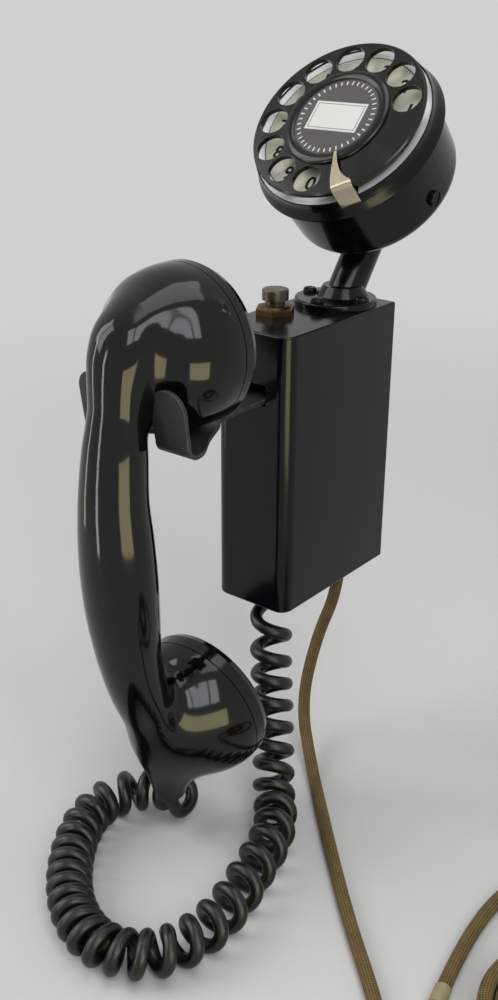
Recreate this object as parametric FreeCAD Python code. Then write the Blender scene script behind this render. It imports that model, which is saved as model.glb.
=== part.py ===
import FreeCAD, Part
import math
import os

# A small telephone for the side of a desk or a post: a narrow sheet-steel case,
# a dial in a tilted cup on a short neck, a hook fork on the front with a handset
# hanging from it, a curly handset cord and a braided line cord.
# X runs along the case's width, Y runs back into the desk, Z is up, sizes in mm.
# The origin is the middle of the back plate, on the surface that it is screwed to.

V = FreeCAD.Vector

# Case
CASE_WIDTH = 38.5
CASE_DEPTH = 77.6
CASE_HEIGHT = 124.0
SHEET = 1.2
CORNER_R = 5.9
EDGE_R = 1.0
PLATE = 2.0
MOUNT_SPACING_X = 24.0
MOUNT_SPACING_Z = 96.0
MOUNT_HOLE_R = 2.5
FLOOR_DROP = 95.0

# Clearances
GAP = 0.3
FIT = 0.05
SLIP = 0.1

# Dial
DIAL_TILT = 46.1
DIAL_RISE = 77.1
DIAL_BACK = 22.5
WHEEL_R = 38.1
WHEEL_THICK = 2.0
HOLE_SHARE = 0.1654
HOLE_RIM = 1.8
HOLE_ONE = 22.5
HOLE_STEP = 27.6
CUP_DEPTH = 45.0
CUP_WALL = 1.5
CUP_CORNER_R = 6.0
MAIN_SHAFT_R = 3.0
GEAR_SHARE = 0.02625
MAIN_TEETH = 36
PINION_TEETH = 8
SECOND_WHEEL_TEETH = 24
STOP_ANGLE = -58.75
CLAMP_ANGLE = -13.5

# Neck
FLANGE_R = 18.0
FLANGE_THICK = 3.0
FLANGE_BACK = 18.5
FLANGE_SCREW_R = 13.75
NECK_R = 8.1
NECK_BORE_R = 5.2
NECK_FOOT_BACK = 13.0
NECK_NOSE = 8.2

# Push button
BUTTON_X = -9.0
BUTTON_BACK = 50.0
BUTTON_R = 5.65
BUTTON_CAP = 4.5
BUTTON_STEM_R = 4.0
BUTTON_TRAVEL = 1.7
NUT_FLATS = 15.2
NUT_THICK = 3.0

# Hook fork
REST_DROP = 27.6
FORK_PLATE = 1.6
FORK_HALF = 26.2
FORK_PAST_RECEIVER = 27.2
NOTCH_HALF = 10.2
PRONG_HEIGHT = 24.6
PRONG_TOP_R = 7.9
PRONG_LEAN = 8.0
PRONG_BEND = 3.4
STEM_HALF = 7.0
PIVOT_BACK = 32.6
HOOK_LIFT_ANGLE = 8.0
HANDSET_LIFT = 40.0

# Handset
RECEIVER_REACH = 41.2
RECEIVER_TILT = 0.0
RECEIVER_R = 31.0
RECEIVER_DEPTH = 29.5
RECEIVER_POWER = 2.4
RECEIVER_BARREL = 4.0
TRANSMITTER_REACH = 34.9
TRANSMITTER_DROP = 131.1
TRANSMITTER_TILT = 12.3
TRANSMITTER_R = 32.0
TRANSMITTER_DEPTH = 34.1
TRANSMITTER_POWER = 1.74
TRANSMITTER_BARREL = 5.2
CUP_SHELL = 3.0

# Cords
CURLY_WIRE = 5.8
CURL_R = 6.85
CURLS = 36
LINE_CORD = 5.8
COIL_CENTRE_X = 190.0
COIL_CENTRE_Y = -122.0
COIL_OUTER_R = 39.0
COIL_TURNS = 2.625
COIL_START = 300.0
COIL_PITCH = 6.35
COIL_LAYER_GAP = 0.55
TIE = 1.2

# Where the cords come out of the bottom
CURLY_AXIS_X = 2.0
CURLY_AXIS_BACK = 13.6
CURLY_HOLE_R = 5.5
LINE_X = 5.0
LINE_Y = -14.0
LINE_HOLE_R = 4.75
COVER_SCREW_X = 13.0
COVER_SCREW_Y = -6.5

# Hook switch, inside the case
BRACKET_HALF = 11.0
BRACKET_SHEET = 1.2
PIN_R = 2.0
ROLLER_R = 3.0
LEAF = 0.4
INSULATOR = 2.0
STACK_Y0 = -18.0
STACK_Y1 = -6.0
BUSHING_HOLE_R = 5.0

# Sizes that follow from the ones above
TOP = CASE_HEIGHT / 2
BOTTOM = -TOP
FRONT = -CASE_DEPTH
HALF = CASE_WIDTH / 2
FLOOR = BOTTOM - FLOOR_DROP
REST_Z = TOP - REST_DROP
FORK_REACH = RECEIVER_REACH + FORK_PAST_RECEIVER
PIVOT_Z = REST_Z - FORK_PLATE / 2
PIVOT_Y = FRONT + PIVOT_BACK
BUTTON_Y = -BUTTON_BACK
BRACKET_LOW = PIVOT_Z - 26.0
BRACKET_HIGH = PIVOT_Z + 9.0
BRACKET_NOSE = PIVOT_Y - 23.0
SHELF_Z = PIVOT_Z + 11.0
ROLLER_Y = PIVOT_Y + 14.0
ROLLER_Z = REST_Z + 4.0
LEAF_Z = ROLLER_Z + ROLLER_R + GAP
TERMINAL_Z = BOTTOM + 37.0
SLOT_HALF = STEM_HALF + 1.0
SLOT_LOW = REST_Z - FORK_PLATE - 1.0
SLOT_HIGH = REST_Z + PIVOT_BACK * math.sin(math.radians(HOOK_LIFT_ANGLE)) + 1.5
NECK_HOLE_R = NECK_BORE_R + 0.8
HOLE_R = WHEEL_R * HOLE_SHARE
HOLE_CIRCLE_R = WHEEL_R - HOLE_R - HOLE_RIM
CARD_RING_R = HOLE_CIRCLE_R - HOLE_R - 0.5
CARD_R = CARD_RING_R - 4.7
GEAR_MODULE = WHEEL_R * GEAR_SHARE
CAM_R = 6.0 * GEAR_MODULE
DRUM_R = 8.6 * GEAR_MODULE
DIAL = FreeCAD.Placement(V(0, -DIAL_BACK, TOP + DIAL_RISE), FreeCAD.Rotation(V(1, 0, 0), DIAL_TILT))
PINION_R = GEAR_MODULE * PINION_TEETH / 2
PINION_CENTRE = GEAR_MODULE * (MAIN_TEETH + PINION_TEETH) / 2
PINION_ANGLE = 100.0
GOVERNOR_CENTRE = GEAR_MODULE * (SECOND_WHEEL_TEETH + PINION_TEETH) / 2
GOVERNOR_ANGLE = 200.0

# Which side of its axis the curly cord's wire starts and ends on, and its heading there
CURLY_START_SIDE = V(-0.62, 0.785, 0)
CURLY_END_HEADING = V(0.9, -0.32, 0.3).normalize()
CURLY_END_SIDE = V(CURLY_END_HEADING.y, -CURLY_END_HEADING.x, 0).normalize()
CURLY_AXIS_Y = FRONT + CURLY_AXIS_BACK
CURLY_X = CURLY_AXIS_X + CURLY_START_SIDE.x * CURL_R
CURLY_Y = CURLY_AXIS_Y + CURLY_START_SIDE.y * CURL_R
COIL_SWEEP = 2 * COIL_TURNS * 360.0

# Heights in the dial's own frame: its face is 0 and its back is negative
PLATE_FACE = -5.5
BEZEL_TOP = -5.0
LEDGE = -6.5
BEZEL_WAIST = -7.5
CUP_RIM = -10.0
CHASSIS = -11.2
BEZEL_FOOT = -12.6
REAR_PLATE = -36.0
CUP_R = WHEEL_R + 0.4
CUP_INSIDE_R = CUP_R - CUP_WALL
PILLAR_R = CUP_INSIDE_R - 10.0
BEZEL_BORE_R = WHEEL_R + 0.7

# The handle's sections: out from the case's front, up from the fork's rest,
# half width and half depth
HANDLE = [
    (60.0, 47.5, 9.0, 4.0),
    (67.5, 46.0, 10.6, 6.2),
    (72.6, 41.2, 11.9, 9.2),
    (74.9, 34.0, 12.1, 10.7),
    (75.8, 27.0, 11.6, 10.9),
    (76.3, 20.5, 11.2, 10.8),
    (76.8, 15.0, 11.0, 10.6),
    (77.9, 8.0, 11.6, 11.0),
    (79.3, -2.2, 12.8, 11.8),
    (80.9, -18.8, 13.9, 12.5),
    (80.6, -35.2, 15.2, 13.6),
    (79.8, -52.4, 15.6, 14.1),
    (78.5, -70.4, 15.0, 13.5),
    (76.2, -89.0, 13.4, 12.2),
    (72.0, -105.0, 12.6, 11.5),
    (66.2, -120.0, 11.6, 10.8),
    (59.6, -136.5, 10.4, 9.8),
    (56.9, -150.0, 8.9, 8.5),
    (55.4, -165.1, 7.2, 7.0),
]
TAIL_DIRECTION = V(0, math.sin(math.radians(11.3)), -math.cos(math.radians(11.3)))
BUSHING_R = 4.6
BUSHING_OUT = 2.2


# Plain shapes
def block(x0, x1, y0, y1, z0, z1):
    return Part.makeBox(x1 - x0, y1 - y0, z1 - z0, V(x0, y0, z0))


def rod(radius, start, end):
    axis = end.sub(start)
    return Part.makeCylinder(radius, axis.Length, start, axis)


def upright(radius, x, y, z0, z1):
    return Part.makeCylinder(radius, z1 - z0, V(x, y, z0))


def turned(points):
    corners = [V(r, 0, h) for r, h in points]
    wire = Part.makePolygon(corners + [corners[0]])
    return Part.Face(wire).revolve(V(0, 0, 0), V(0, 0, 1), 360)


def ring(outer, inner, z0, z1):
    return turned([(inner, z0), (outer, z0), (outer, z1), (inner, z1)])


def hexagon(flats, x, y, z0, z1):
    radius = flats / math.sqrt(3)
    corners = [V(x + radius * math.cos(a * math.pi / 3), y + radius * math.sin(a * math.pi / 3), z0)
               for a in range(7)]
    return Part.Face(Part.makePolygon(corners)).extrude(V(0, 0, z1 - z0))


def fused(shapes):
    whole = shapes[0]
    for shape in shapes[1:]:
        whole = whole.fuse(shape)
    return whole.removeSplitter()


def cut_by(shape, tools):
    for tool in tools:
        shape = shape.cut(tool)
    return shape


def at_angle(shape, degrees):
    turned_shape = shape.copy()
    turned_shape.rotate(V(0, 0, 0), V(0, 0, 1), degrees)
    return turned_shape


def moved(shape, placement):
    placed = shape.copy()
    placed.Placement = placement.multiply(placed.Placement)
    return placed


def in_dial(shape):
    return moved(shape, DIAL)


def save(name, shapes):
    solids = []
    for shape in shapes if isinstance(shapes, list) else [shapes]:
        solids.extend(shape.Solids)
    whole = solids[0] if len(solids) == 1 else Part.makeCompound(solids)
    whole.exportStep("parts/%s.step" % name)
    print("%-24s %2d solids %10.1f mm3" % (name, len(solids), sum(s.Volume for s in solids)))


def slotted_head(radius, height, slot, x, y, z):
    head = upright(radius, x, y, z, z + height)
    head = head.makeFillet(height * 0.6, [e for e in head.Edges if e.BoundBox.ZMin > z + height * 0.9])
    groove = block(x - slot / 2, x + slot / 2, y - radius, y + radius, z + height * 0.45, z + 2 * height)
    return head.cut(groove)


def slotted_screw(head_r, head_h, shank_r, length, x, y, z):
    head = slotted_head(head_r, head_h, head_r * 0.3, x, y, z)
    return fused([head, upright(shank_r, x, y, z - length, z + head_h * 0.2)])


# Tubes along arcs
def arc_between(start, end, corner):
    chord = end.sub(start)
    middle = start.add(end).multiply(0.5)
    outward = corner.sub(middle)
    if outward.Length < 1e-4:
        return Part.LineSegment(start, end).toShape()
    half_turn = chord.getAngle(corner.sub(start))
    rise = chord.Length / 2 * math.tan(half_turn / 2)
    outward.normalize()
    return Part.Arc(start, middle.add(outward.multiply(rise)), end).toShape()


def biarc(p0, t0, p1, t1):
    across = p1.sub(p0)
    both = t0.add(t1)
    b = across.dot(both)
    a = 2 * (1 - t0.dot(t1))
    if a < 1e-9:
        reach = across.dot(across) / (4 * across.dot(t1))
    else:
        reach = (-b + math.sqrt(b * b + a * across.dot(across))) / a
    q0 = p0.add(V(t0).multiply(reach))
    q1 = p1.sub(V(t1).multiply(reach))
    joint = q0.add(q1).multiply(0.5)
    return [arc_between(p0, joint, q0), arc_between(joint, p1, q1)]


def swept(edges, radius):
    start = edges[0].valueAt(edges[0].FirstParameter)
    heading = edges[0].tangentAt(edges[0].FirstParameter)
    profile = Part.Wire([Part.makeCircle(radius, start, heading)])
    tube = Part.Wire(edges).makePipeShell([profile], True, False)
    return tube if tube.Volume > 0 else tube.reversed()


def bent_tube(points, radius, name):
    edges = []
    here = points[0]
    tightest = 1e9
    for before, corner, after in zip(points, points[1:], points[2:]):
        run_in = corner.sub(before)
        run_out = after.sub(corner)
        half_turn = run_in.getAngle(run_out) / 2
        reach = 0.45 * min(run_in.Length, run_out.Length)
        tightest = min(tightest, reach / math.tan(half_turn))
        run_in.normalize()
        run_out.normalize()
        bend_start = corner.sub(run_in.multiply(reach))
        bend_end = corner.add(run_out.multiply(reach))
        edges.append(Part.LineSegment(here, bend_start).toShape())
        edges.append(arc_between(bend_start, bend_end, corner))
        here = bend_end
    edges.append(Part.LineSegment(here, points[-1]).toShape())
    length = sum(e.Length for e in edges)
    tube = swept(edges, radius)
    share = tube.Volume / (math.pi * radius * radius * length)
    print("%s: length %.1f, tightest bend %.1f, volume share %.4f" % (name, length, tightest, share))
    return tube


def winding(centre, mean_r, wire_r, z0, z1, turns):
    steps = int(turns * 4)
    points = []
    headings = []
    pitch = (z1 - z0 - 2 * wire_r) / turns
    for i in range(steps + 1):
        a = i * math.pi / 2
        points.append(V(centre.x + mean_r * math.cos(a), centre.y + mean_r * math.sin(a),
                        z0 + wire_r + pitch * i / 4))
        heading = V(-mean_r * math.sin(a), mean_r * math.cos(a), pitch / (2 * math.pi))
        heading.normalize()
        headings.append(heading)
    edges = []
    for i in range(steps):
        edges.extend(biarc(points[i], headings[i], points[i + 1], headings[i + 1]))
    return swept(edges, wire_r)


# Case
def rounded_block(inset, z0, z1, back):
    body = block(-HALF + inset, HALF - inset, FRONT + inset, back, z0, z1)
    corners = [e for e in body.Edges if e.BoundBox.ZLength > 1 and e.BoundBox.YMax < FRONT + inset + 1]
    return body.makeFillet(CORNER_R - inset, corners)


def flange_screw_places():
    return [(FLANGE_SCREW_R, -FLANGE_BACK), (-FLANGE_SCREW_R, -FLANGE_BACK),
            (0.0, -FLANGE_BACK - FLANGE_SCREW_R)]


def make_case_cover():
    outer = rounded_block(0, BOTTOM, TOP, 6)
    rims = [e for e in outer.Edges if e.BoundBox.ZLength < 0.1 and e.BoundBox.YMin < 0]
    outer = outer.makeFillet(EDGE_R, rims)
    inner = rounded_block(SHEET, BOTTOM + SHEET, TOP - SHEET, 8)
    cover = outer.cut(inner).cut(block(-40, 40, -GAP, 20, BOTTOM - 5, TOP + 5))
    tools = [block(-SLOT_HALF, SLOT_HALF, FRONT - 1, FRONT + SHEET + 1, SLOT_LOW, SLOT_HIGH)]
    tools.append(upright(NECK_HOLE_R, 0, -NECK_FOOT_BACK, TOP - 3, TOP + 3))
    tools.append(upright(BUSHING_HOLE_R, BUTTON_X, BUTTON_Y, TOP - 3, TOP + 3))
    for x, y in flange_screw_places():
        tools.append(upright(1.8, x, y, TOP - 3, TOP + 3))
    tools.append(upright(CURLY_HOLE_R, CURLY_X, CURLY_Y, BOTTOM - 3, BOTTOM + 3))
    tools.append(upright(LINE_HOLE_R, LINE_X, LINE_Y, BOTTOM - 3, BOTTOM + 3))
    for x in (-COVER_SCREW_X, COVER_SCREW_X):
        tools.append(upright(1.6, x, COVER_SCREW_Y, BOTTOM - 3, BOTTOM + 3))
    return cut_by(cover, tools)


def bracket_rivet_places():
    return [(x, z) for x in (-7.0, 7.0) for z in (PIVOT_Z - 21, PIVOT_Z - 3)]


def make_back_plate():
    wide = HALF - SHEET - SLIP
    low = BOTTOM + SHEET
    high = TOP - SHEET
    plate = fused([
        block(-wide, wide, -PLATE, 0, low, high),
        block(-wide, wide, -FLANGE_BACK - FLANGE_SCREW_R - 5, -PLATE / 2, high - PLATE, high),
        block(-wide, wide, -10.5, -PLATE / 2, low, low + PLATE)])
    tools = [upright(NECK_HOLE_R, 0, -NECK_FOOT_BACK, TOP - 6, TOP)]
    for x, y in flange_screw_places():
        tools.append(upright(1.8, x, y, TOP - 6, TOP))
    for x in (-COVER_SCREW_X, COVER_SCREW_X):
        tools.append(upright(1.5, x, COVER_SCREW_Y, BOTTOM, BOTTOM + 6))
    tools.append(upright(LINE_HOLE_R + 2.5, LINE_X, LINE_Y, BOTTOM, BOTTOM + 6))
    for x in (-MOUNT_SPACING_X / 2, MOUNT_SPACING_X / 2):
        for z in (-MOUNT_SPACING_Z / 2, MOUNT_SPACING_Z / 2):
            tools.append(rod(MOUNT_HOLE_R, V(x, -5, z), V(x, 1, z)))
    for x, z in bracket_rivet_places():
        tools.append(rod(1.5, V(x, -5, z), V(x, 1, z)))
    for z in (TERMINAL_Z - 9, TERMINAL_Z + 9):
        tools.append(rod(1.5, V(0, -5, z), V(0, 1, z)))
    return cut_by(plate, tools)


def make_cover_screws():
    screws = []
    for x in (-COVER_SCREW_X, COVER_SCREW_X):
        screw = slotted_screw(2.6, 1.4, 1.5, 5.0, x, COVER_SCREW_Y, 0)
        screw.rotate(V(x, COVER_SCREW_Y, 0), V(1, 0, 0), 180)
        screw.translate(V(0, 0, BOTTOM))
        screws.append(screw)
    return screws


# Hook switch, inside the case
def make_hook_bracket():
    out = BRACKET_HALF + BRACKET_SHEET
    back = -PLATE
    pieces = [block(-out, out, back - BRACKET_SHEET, back, BRACKET_LOW, PIVOT_Z + 2)]
    pieces.append(block(-out, out, BRACKET_NOSE, back, BRACKET_LOW, BRACKET_LOW + BRACKET_SHEET))
    for side in (-1, 1):
        x0, x1 = sorted((side * BRACKET_HALF, side * out))
        pieces.append(block(x0, x1, BRACKET_NOSE, back, BRACKET_LOW, BRACKET_HIGH))
    shelf_top = LEAF_Z - INSULATOR
    pieces.append(block(-out, out, STACK_Y0 - 2, STACK_Y1 + 2, shelf_top - BRACKET_SHEET, shelf_top))
    pieces.append(block(-out, -BRACKET_HALF, BUTTON_Y - 8, BUTTON_Y + 8, BRACKET_HIGH - 1, SHELF_Z))
    pieces.append(block(-out, -1, BUTTON_Y - 8, BUTTON_Y + 8, SHELF_Z - BRACKET_SHEET, SHELF_Z))
    bracket = fused(pieces)
    tools = [rod(PIN_R, V(-20, PIVOT_Y, PIVOT_Z), V(20, PIVOT_Y, PIVOT_Z))]
    for x, z in bracket_rivet_places():
        tools.append(rod(1.5, V(x, -8, z), V(x, 1, z)))
    for x in (-5.0, 5.0):
        tools.append(upright(1.3, x, (STACK_Y0 + STACK_Y1) / 2, shelf_top - 3, shelf_top + 3))
    return cut_by(bracket, tools)


def make_bracket_rivets():
    rivets = []
    for x, z in bracket_rivet_places():
        front = -PLATE - BRACKET_SHEET
        head = rod(2.6, V(x, front - 1.2, z), V(x, front, z))
        rivets.append(fused([head, rod(1.5, V(x, front - 0.5, z), V(x, -0.2, z))]))
    return rivets


def make_hook_pivot_pin():
    out = BRACKET_HALF + BRACKET_SHEET
    shank = rod(PIN_R, V(-out - 1.6, PIVOT_Y, PIVOT_Z), V(out, PIVOT_Y, PIVOT_Z))
    head = rod(3.2, V(out, PIVOT_Y, PIVOT_Z), V(out + 1.2, PIVOT_Y, PIVOT_Z))
    clip = rod(3.0, V(-out - 0.8, PIVOT_Y, PIVOT_Z), V(-out, PIVOT_Y, PIVOT_Z))
    return fused([shank, head, clip])


def web_side(side, front):
    places = [(FORK_HALF, front), (25.4, front - 4.0), (18.6, front - 15.5), (10.4, front - 31.5),
              (STEM_HALF, front - 43.5)]
    curve = Part.BSplineCurve()
    curve.interpolate(Points=[V(side * x, FRONT - u, 0) for x, u in places],
                      InitialTangent=V(0, 1, 0), FinalTangent=V(0, 1, 0))
    return curve.toShape()


def prong_side(centre, radius, top):
    turn = math.radians(90.0 - PRONG_LEAN)
    bottom = V(0, centre.y, centre.z - radius)
    middle = V(0, centre.y - radius * math.sin(turn / 2), centre.z - radius * math.cos(turn / 2))
    bent = V(0, centre.y - radius * math.sin(turn), centre.z - radius * math.cos(turn))
    rise = top - bent.z
    tip = V(0, bent.y - rise * math.tan(math.radians(PRONG_LEAN)), top)
    return bottom, middle, bent, tip


def make_prong(side):
    outer = PRONG_BEND + FORK_PLATE
    centre = V(0, FRONT - FORK_REACH + outer, REST_Z + PRONG_BEND)
    top = REST_Z + PRONG_HEIGHT
    low = prong_side(centre, outer, top)
    high = prong_side(centre, PRONG_BEND, top)
    edges = [Part.Arc(low[0], low[1], low[2]).toShape(), Part.makeLine(low[2], low[3]),
             Part.makeLine(low[3], high[3]), Part.makeLine(high[3], high[2]),
             Part.Arc(high[2], high[1], high[0]).toShape(), Part.makeLine(high[0], low[0])]
    x0, x1 = sorted((side * NOTCH_HALF, side * FORK_HALF))
    prong = Part.Face(Part.Wire(edges)).extrude(V(x1 - x0, 0, 0))
    prong.translate(V(x0, 0, 0))
    corners = [e for e in prong.Edges if e.BoundBox.ZMin > top - 1 and e.BoundBox.XLength < 0.1]
    return prong.makeFillet(PRONG_TOP_R, corners)


def make_cradle_fork():
    low = REST_Z - FORK_PLATE
    front = FORK_REACH - PRONG_BEND - FORK_PLATE
    front_y = FRONT - front
    right = web_side(1, front)
    left = web_side(-1, front)
    stem_start = front_y + 43.5
    edges = [right, Part.makeLine(V(STEM_HALF, stem_start, 0), V(STEM_HALF, PIVOT_Y, 0)),
             Part.makeLine(V(STEM_HALF, PIVOT_Y, 0), V(-STEM_HALF, PIVOT_Y, 0)),
             Part.makeLine(V(-STEM_HALF, PIVOT_Y, 0), V(-STEM_HALF, stem_start, 0)), left,
             Part.makeLine(V(-FORK_HALF, front_y, 0), V(FORK_HALF, front_y, 0))]
    web = Part.Face(Part.Wire(Part.__sortEdges__(edges))).extrude(V(0, 0, FORK_PLATE))
    web.translate(V(0, 0, low))
    pieces = [web, make_prong(1), make_prong(-1)]
    pieces.append(rod(3.6, V(-BRACKET_HALF + 0.8, PIVOT_Y, PIVOT_Z), V(BRACKET_HALF - 0.8, PIVOT_Y, PIVOT_Z)))
    pieces.append(block(-5, 5, PIVOT_Y, ROLLER_Y + 3, low, REST_Z))
    for x0 in (-5.0, 4.0):
        pieces.append(block(x0, x0 + 1, ROLLER_Y - 2.5, ROLLER_Y + 2.5, low, ROLLER_Z + 2))
    fork = fused(pieces)
    notch = fused([upright(NOTCH_HALF, 0, front_y, low - 1, REST_Z + 1),
                   block(-NOTCH_HALF, NOTCH_HALF, front_y - 9, front_y, low - 1, REST_Z + 1)])
    tools = [notch, rod(PIN_R + FIT, V(-20, PIVOT_Y, PIVOT_Z), V(20, PIVOT_Y, PIVOT_Z))]
    tools.append(rod(0.8, V(-20, ROLLER_Y, ROLLER_Z), V(20, ROLLER_Y, ROLLER_Z)))
    return cut_by(fork, tools)


def make_hook_roller():
    return rod(ROLLER_R, V(-3.8, ROLLER_Y, ROLLER_Z), V(3.8, ROLLER_Y, ROLLER_Z)).cut(
        rod(0.8, V(-9, ROLLER_Y, ROLLER_Z), V(9, ROLLER_Y, ROLLER_Z)))


def make_roller_pin():
    return rod(0.8, V(-5.8, ROLLER_Y, ROLLER_Z), V(5.8, ROLLER_Y, ROLLER_Z))


def make_hook_spring():
    centre = V(0, PIVOT_Y - 15, 0)
    return winding(centre, 4.0, 0.45, BRACKET_LOW + BRACKET_SHEET, REST_Z - FORK_PLATE - GAP, 7)


def leaf_levels():
    return [LEAF_Z + i * (INSULATOR + LEAF) for i in range(3)]


def make_switch_springs():
    leaves = []
    for i, z in enumerate(leaf_levels()):
        nose = ROLLER_Y - 6.0 + 2.5 * i
        leaf = block(-3.5, 3.5, nose, STACK_Y1, z, z + LEAF)
        if i < 2:
            leaf = leaf.fuse(upright(1.0, 0, nose + 2, z + LEAF, z + LEAF + 0.7))
        else:
            leaf = leaf.fuse(upright(1.0, 0, nose + 2, z - 0.7, z))
        holes = [upright(1.6, x, (STACK_Y0 + STACK_Y1) / 2, z - 1, z + 2) for x in (-5.0, 5.0)]
        leaves.append(cut_by(leaf, holes).removeSplitter())
    return leaves


def make_switch_insulators():
    slabs = []
    for i in range(4):
        z = LEAF_Z - INSULATOR + i * (INSULATOR + LEAF)
        slab = block(-8, 8, STACK_Y0, STACK_Y1, z, z + INSULATOR)
        slabs.append(cut_by(slab, [upright(1.3, x, (STACK_Y0 + STACK_Y1) / 2, z - 1, z + 4)
                                   for x in (-5.0, 5.0)]))
    return slabs


def make_switch_screws():
    top = LEAF_Z + 3 * (INSULATOR + LEAF)
    length = top - LEAF_Z + INSULATOR + BRACKET_SHEET + 1.0
    return [slotted_screw(2.2, 1.3, 1.3, length, x, (STACK_Y0 + STACK_Y1) / 2, top) for x in (-5.0, 5.0)]


def make_terminal_block():
    body = block(-14, 14, -PLATE - 8, -PLATE, TERMINAL_Z - 13, TERMINAL_Z + 13)
    tools = [block(-15, 15, -PLATE - 9, -PLATE - 5.5, TERMINAL_Z - 0.8, TERMINAL_Z + 0.8)]
    for x in (-9.0, 0.0, 9.0):
        for z in (TERMINAL_Z - 6.5, TERMINAL_Z + 6.5):
            tools.append(rod(1.2, V(x, -PLATE - 9, z), V(x, -PLATE - 2, z)))
    return cut_by(body, tools)


def make_terminal_screws():
    screws = []
    for x in (-9.0, 0.0, 9.0):
        for z in (TERMINAL_Z - 6.5, TERMINAL_Z + 6.5):
            screw = slotted_screw(2.4, 1.4, 1.2, 5.5, 0, 0, 0)
            screw.rotate(V(0, 0, 0), V(1, 0, 0), 90)
            screw.translate(V(x, -PLATE - 8, z))
            screws.append(screw)
    return screws


# Push button on the top
def make_button_bushing():
    bore = BUTTON_STEM_R + FIT
    inside = TOP - SHEET
    profile = [(bore, TOP + NUT_THICK + 0.9), (BUSHING_HOLE_R - FIT, TOP + NUT_THICK + 0.9),
               (BUSHING_HOLE_R - FIT, inside), (6.5, inside), (6.5, inside - 1.5),
               (BUSHING_HOLE_R, inside - 1.5), (BUSHING_HOLE_R, TOP - 8), (1.5 + FIT, TOP - 8),
               (1.5 + FIT, TOP - 6.6), (bore, TOP - 6.6)]
    bushing = turned(profile)
    bushing.translate(V(BUTTON_X, BUTTON_Y, 0))
    return bushing


def make_button_nut():
    nut = hexagon(NUT_FLATS, BUTTON_X, BUTTON_Y, TOP, TOP + NUT_THICK)
    collar = Part.makeCone(7.0, 5.9, 0.9, V(BUTTON_X, BUTTON_Y, TOP + NUT_THICK))
    return fused([nut, collar]).cut(upright(BUSHING_HOLE_R, BUTTON_X, BUTTON_Y, TOP - 1, TOP + 9))


def make_button_plunger():
    cap_low = TOP + NUT_THICK + 0.9 + BUTTON_TRAVEL + 2 * GAP
    cap = upright(BUTTON_R, BUTTON_X, BUTTON_Y, cap_low, cap_low + BUTTON_CAP)
    cap = cap.makeFillet(0.6, [e for e in cap.Edges if e.BoundBox.ZMin > cap_low + BUTTON_CAP - 0.1])
    stem = upright(BUTTON_STEM_R, BUTTON_X, BUTTON_Y, TOP - 0.5, cap_low + 0.5)
    pin = upright(1.5, BUTTON_X, BUTTON_Y, TOP - 12.5, TOP)
    stop = upright(2.8, BUTTON_X, BUTTON_Y, TOP - 9.3, TOP - 8 - GAP)
    return fused([cap, stem, pin, stop])


def make_button_spring():
    return winding(V(BUTTON_X, BUTTON_Y, 0), 2.8, 0.3, TOP - 6.6, TOP - 0.5 - GAP, 5)


def make_button_block():
    body = block(-10.5, -2.0, BUTTON_Y + 1.5, BUTTON_Y + 7.5, SHELF_Z, SHELF_Z + 1.6)
    return body


def make_button_contacts():
    z = SHELF_Z + 1.6
    leaf = block(-10.5, -4.0, BUTTON_Y - 6, BUTTON_Y + 7.5, z, z + LEAF)
    rivet = upright(1.0, BUTTON_X + 1, BUTTON_Y + 5.0, z + LEAF, z + LEAF + 0.8)
    return fused([leaf, rivet])


# Cord entries in the bottom
def grommet(x, y, hole_r, bore_r):
    body = turned([(bore_r, BOTTOM - 1.2), (hole_r + 1.2, BOTTOM - 1.2), (hole_r + 1.8, BOTTOM - 0.6),
                   (hole_r + 1.8, BOTTOM), (hole_r, BOTTOM), (hole_r, BOTTOM + SHEET),
                   (hole_r + 1.8, BOTTOM + SHEET), (hole_r + 1.8, BOTTOM + SHEET + 1.5),
                   (bore_r, BOTTOM + SHEET + 1.5)])
    body.translate(V(x, y, 0))
    return body


# Neck
def neck_points():
    foot = V(0, -NECK_FOOT_BACK, TOP + 1.5)
    elbow = DIAL.multVec(V(0, 0, -CUP_DEPTH - NECK_NOSE))
    nose = DIAL.multVec(V(0, 0, -CUP_DEPTH))
    return foot, elbow, nose


def make_dial_arm():
    foot, elbow, nose = neck_points()
    flange = upright(FLANGE_R, 0, -FLANGE_BACK, TOP, TOP + FLANGE_THICK)
    rims = [e for e in flange.Edges if e.BoundBox.ZMin > TOP + FLANGE_THICK - 0.1]
    flange = flange.makeFillet(1.0, rims)
    spigot = DIAL.multVec(V(0, 0, -CUP_DEPTH + 5.0))
    heading = elbow.sub(foot)
    heading.normalize()
    collar = Part.makeCone(NECK_R + 3.4, NECK_R + 0.5, 4.2, V(0, foot.y - 0.2, TOP + FLANGE_THICK))
    arm = fused([flange, collar, rod(NECK_R, foot, elbow), Part.makeSphere(NECK_R, elbow),
                 rod(NECK_R, elbow, nose), rod(6.0, nose, spigot)])
    arm = arm.cut(block(-30, 30, -60, 30, TOP - 30, TOP))
    below = foot.sub(heading.multiply(8.0))
    tools = [rod(NECK_BORE_R, below, elbow), Part.makeSphere(NECK_BORE_R, elbow),
             rod(NECK_BORE_R, elbow, DIAL.multVec(V(0, 0, -CUP_DEPTH + 6.0)))]
    for x, y in flange_screw_places():
        tools.append(upright(1.8, x, y, TOP - 1, TOP + FLANGE_THICK + 1))
        tools.append(upright(3.3, x, y, TOP + FLANGE_THICK, TOP + FLANGE_THICK + 2.5))
    return cut_by(arm, tools)


def make_flange_screws():
    length = FLANGE_THICK + SHEET + PLATE + 3.4
    return [slotted_screw(3.0, 1.9, 1.75, length, x, y, TOP + FLANGE_THICK) for x, y in flange_screw_places()]


def make_flange_nuts():
    z = TOP - SHEET - PLATE
    return [hexagon(6.4, x, y, z - 2.6, z).cut(upright(1.75, x, y, z - 4, z + 1))
            for x, y in flange_screw_places()]


# Dial cup and what stands still in it
def lug_angles():
    return (30.0, 150.0, 270.0)


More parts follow.
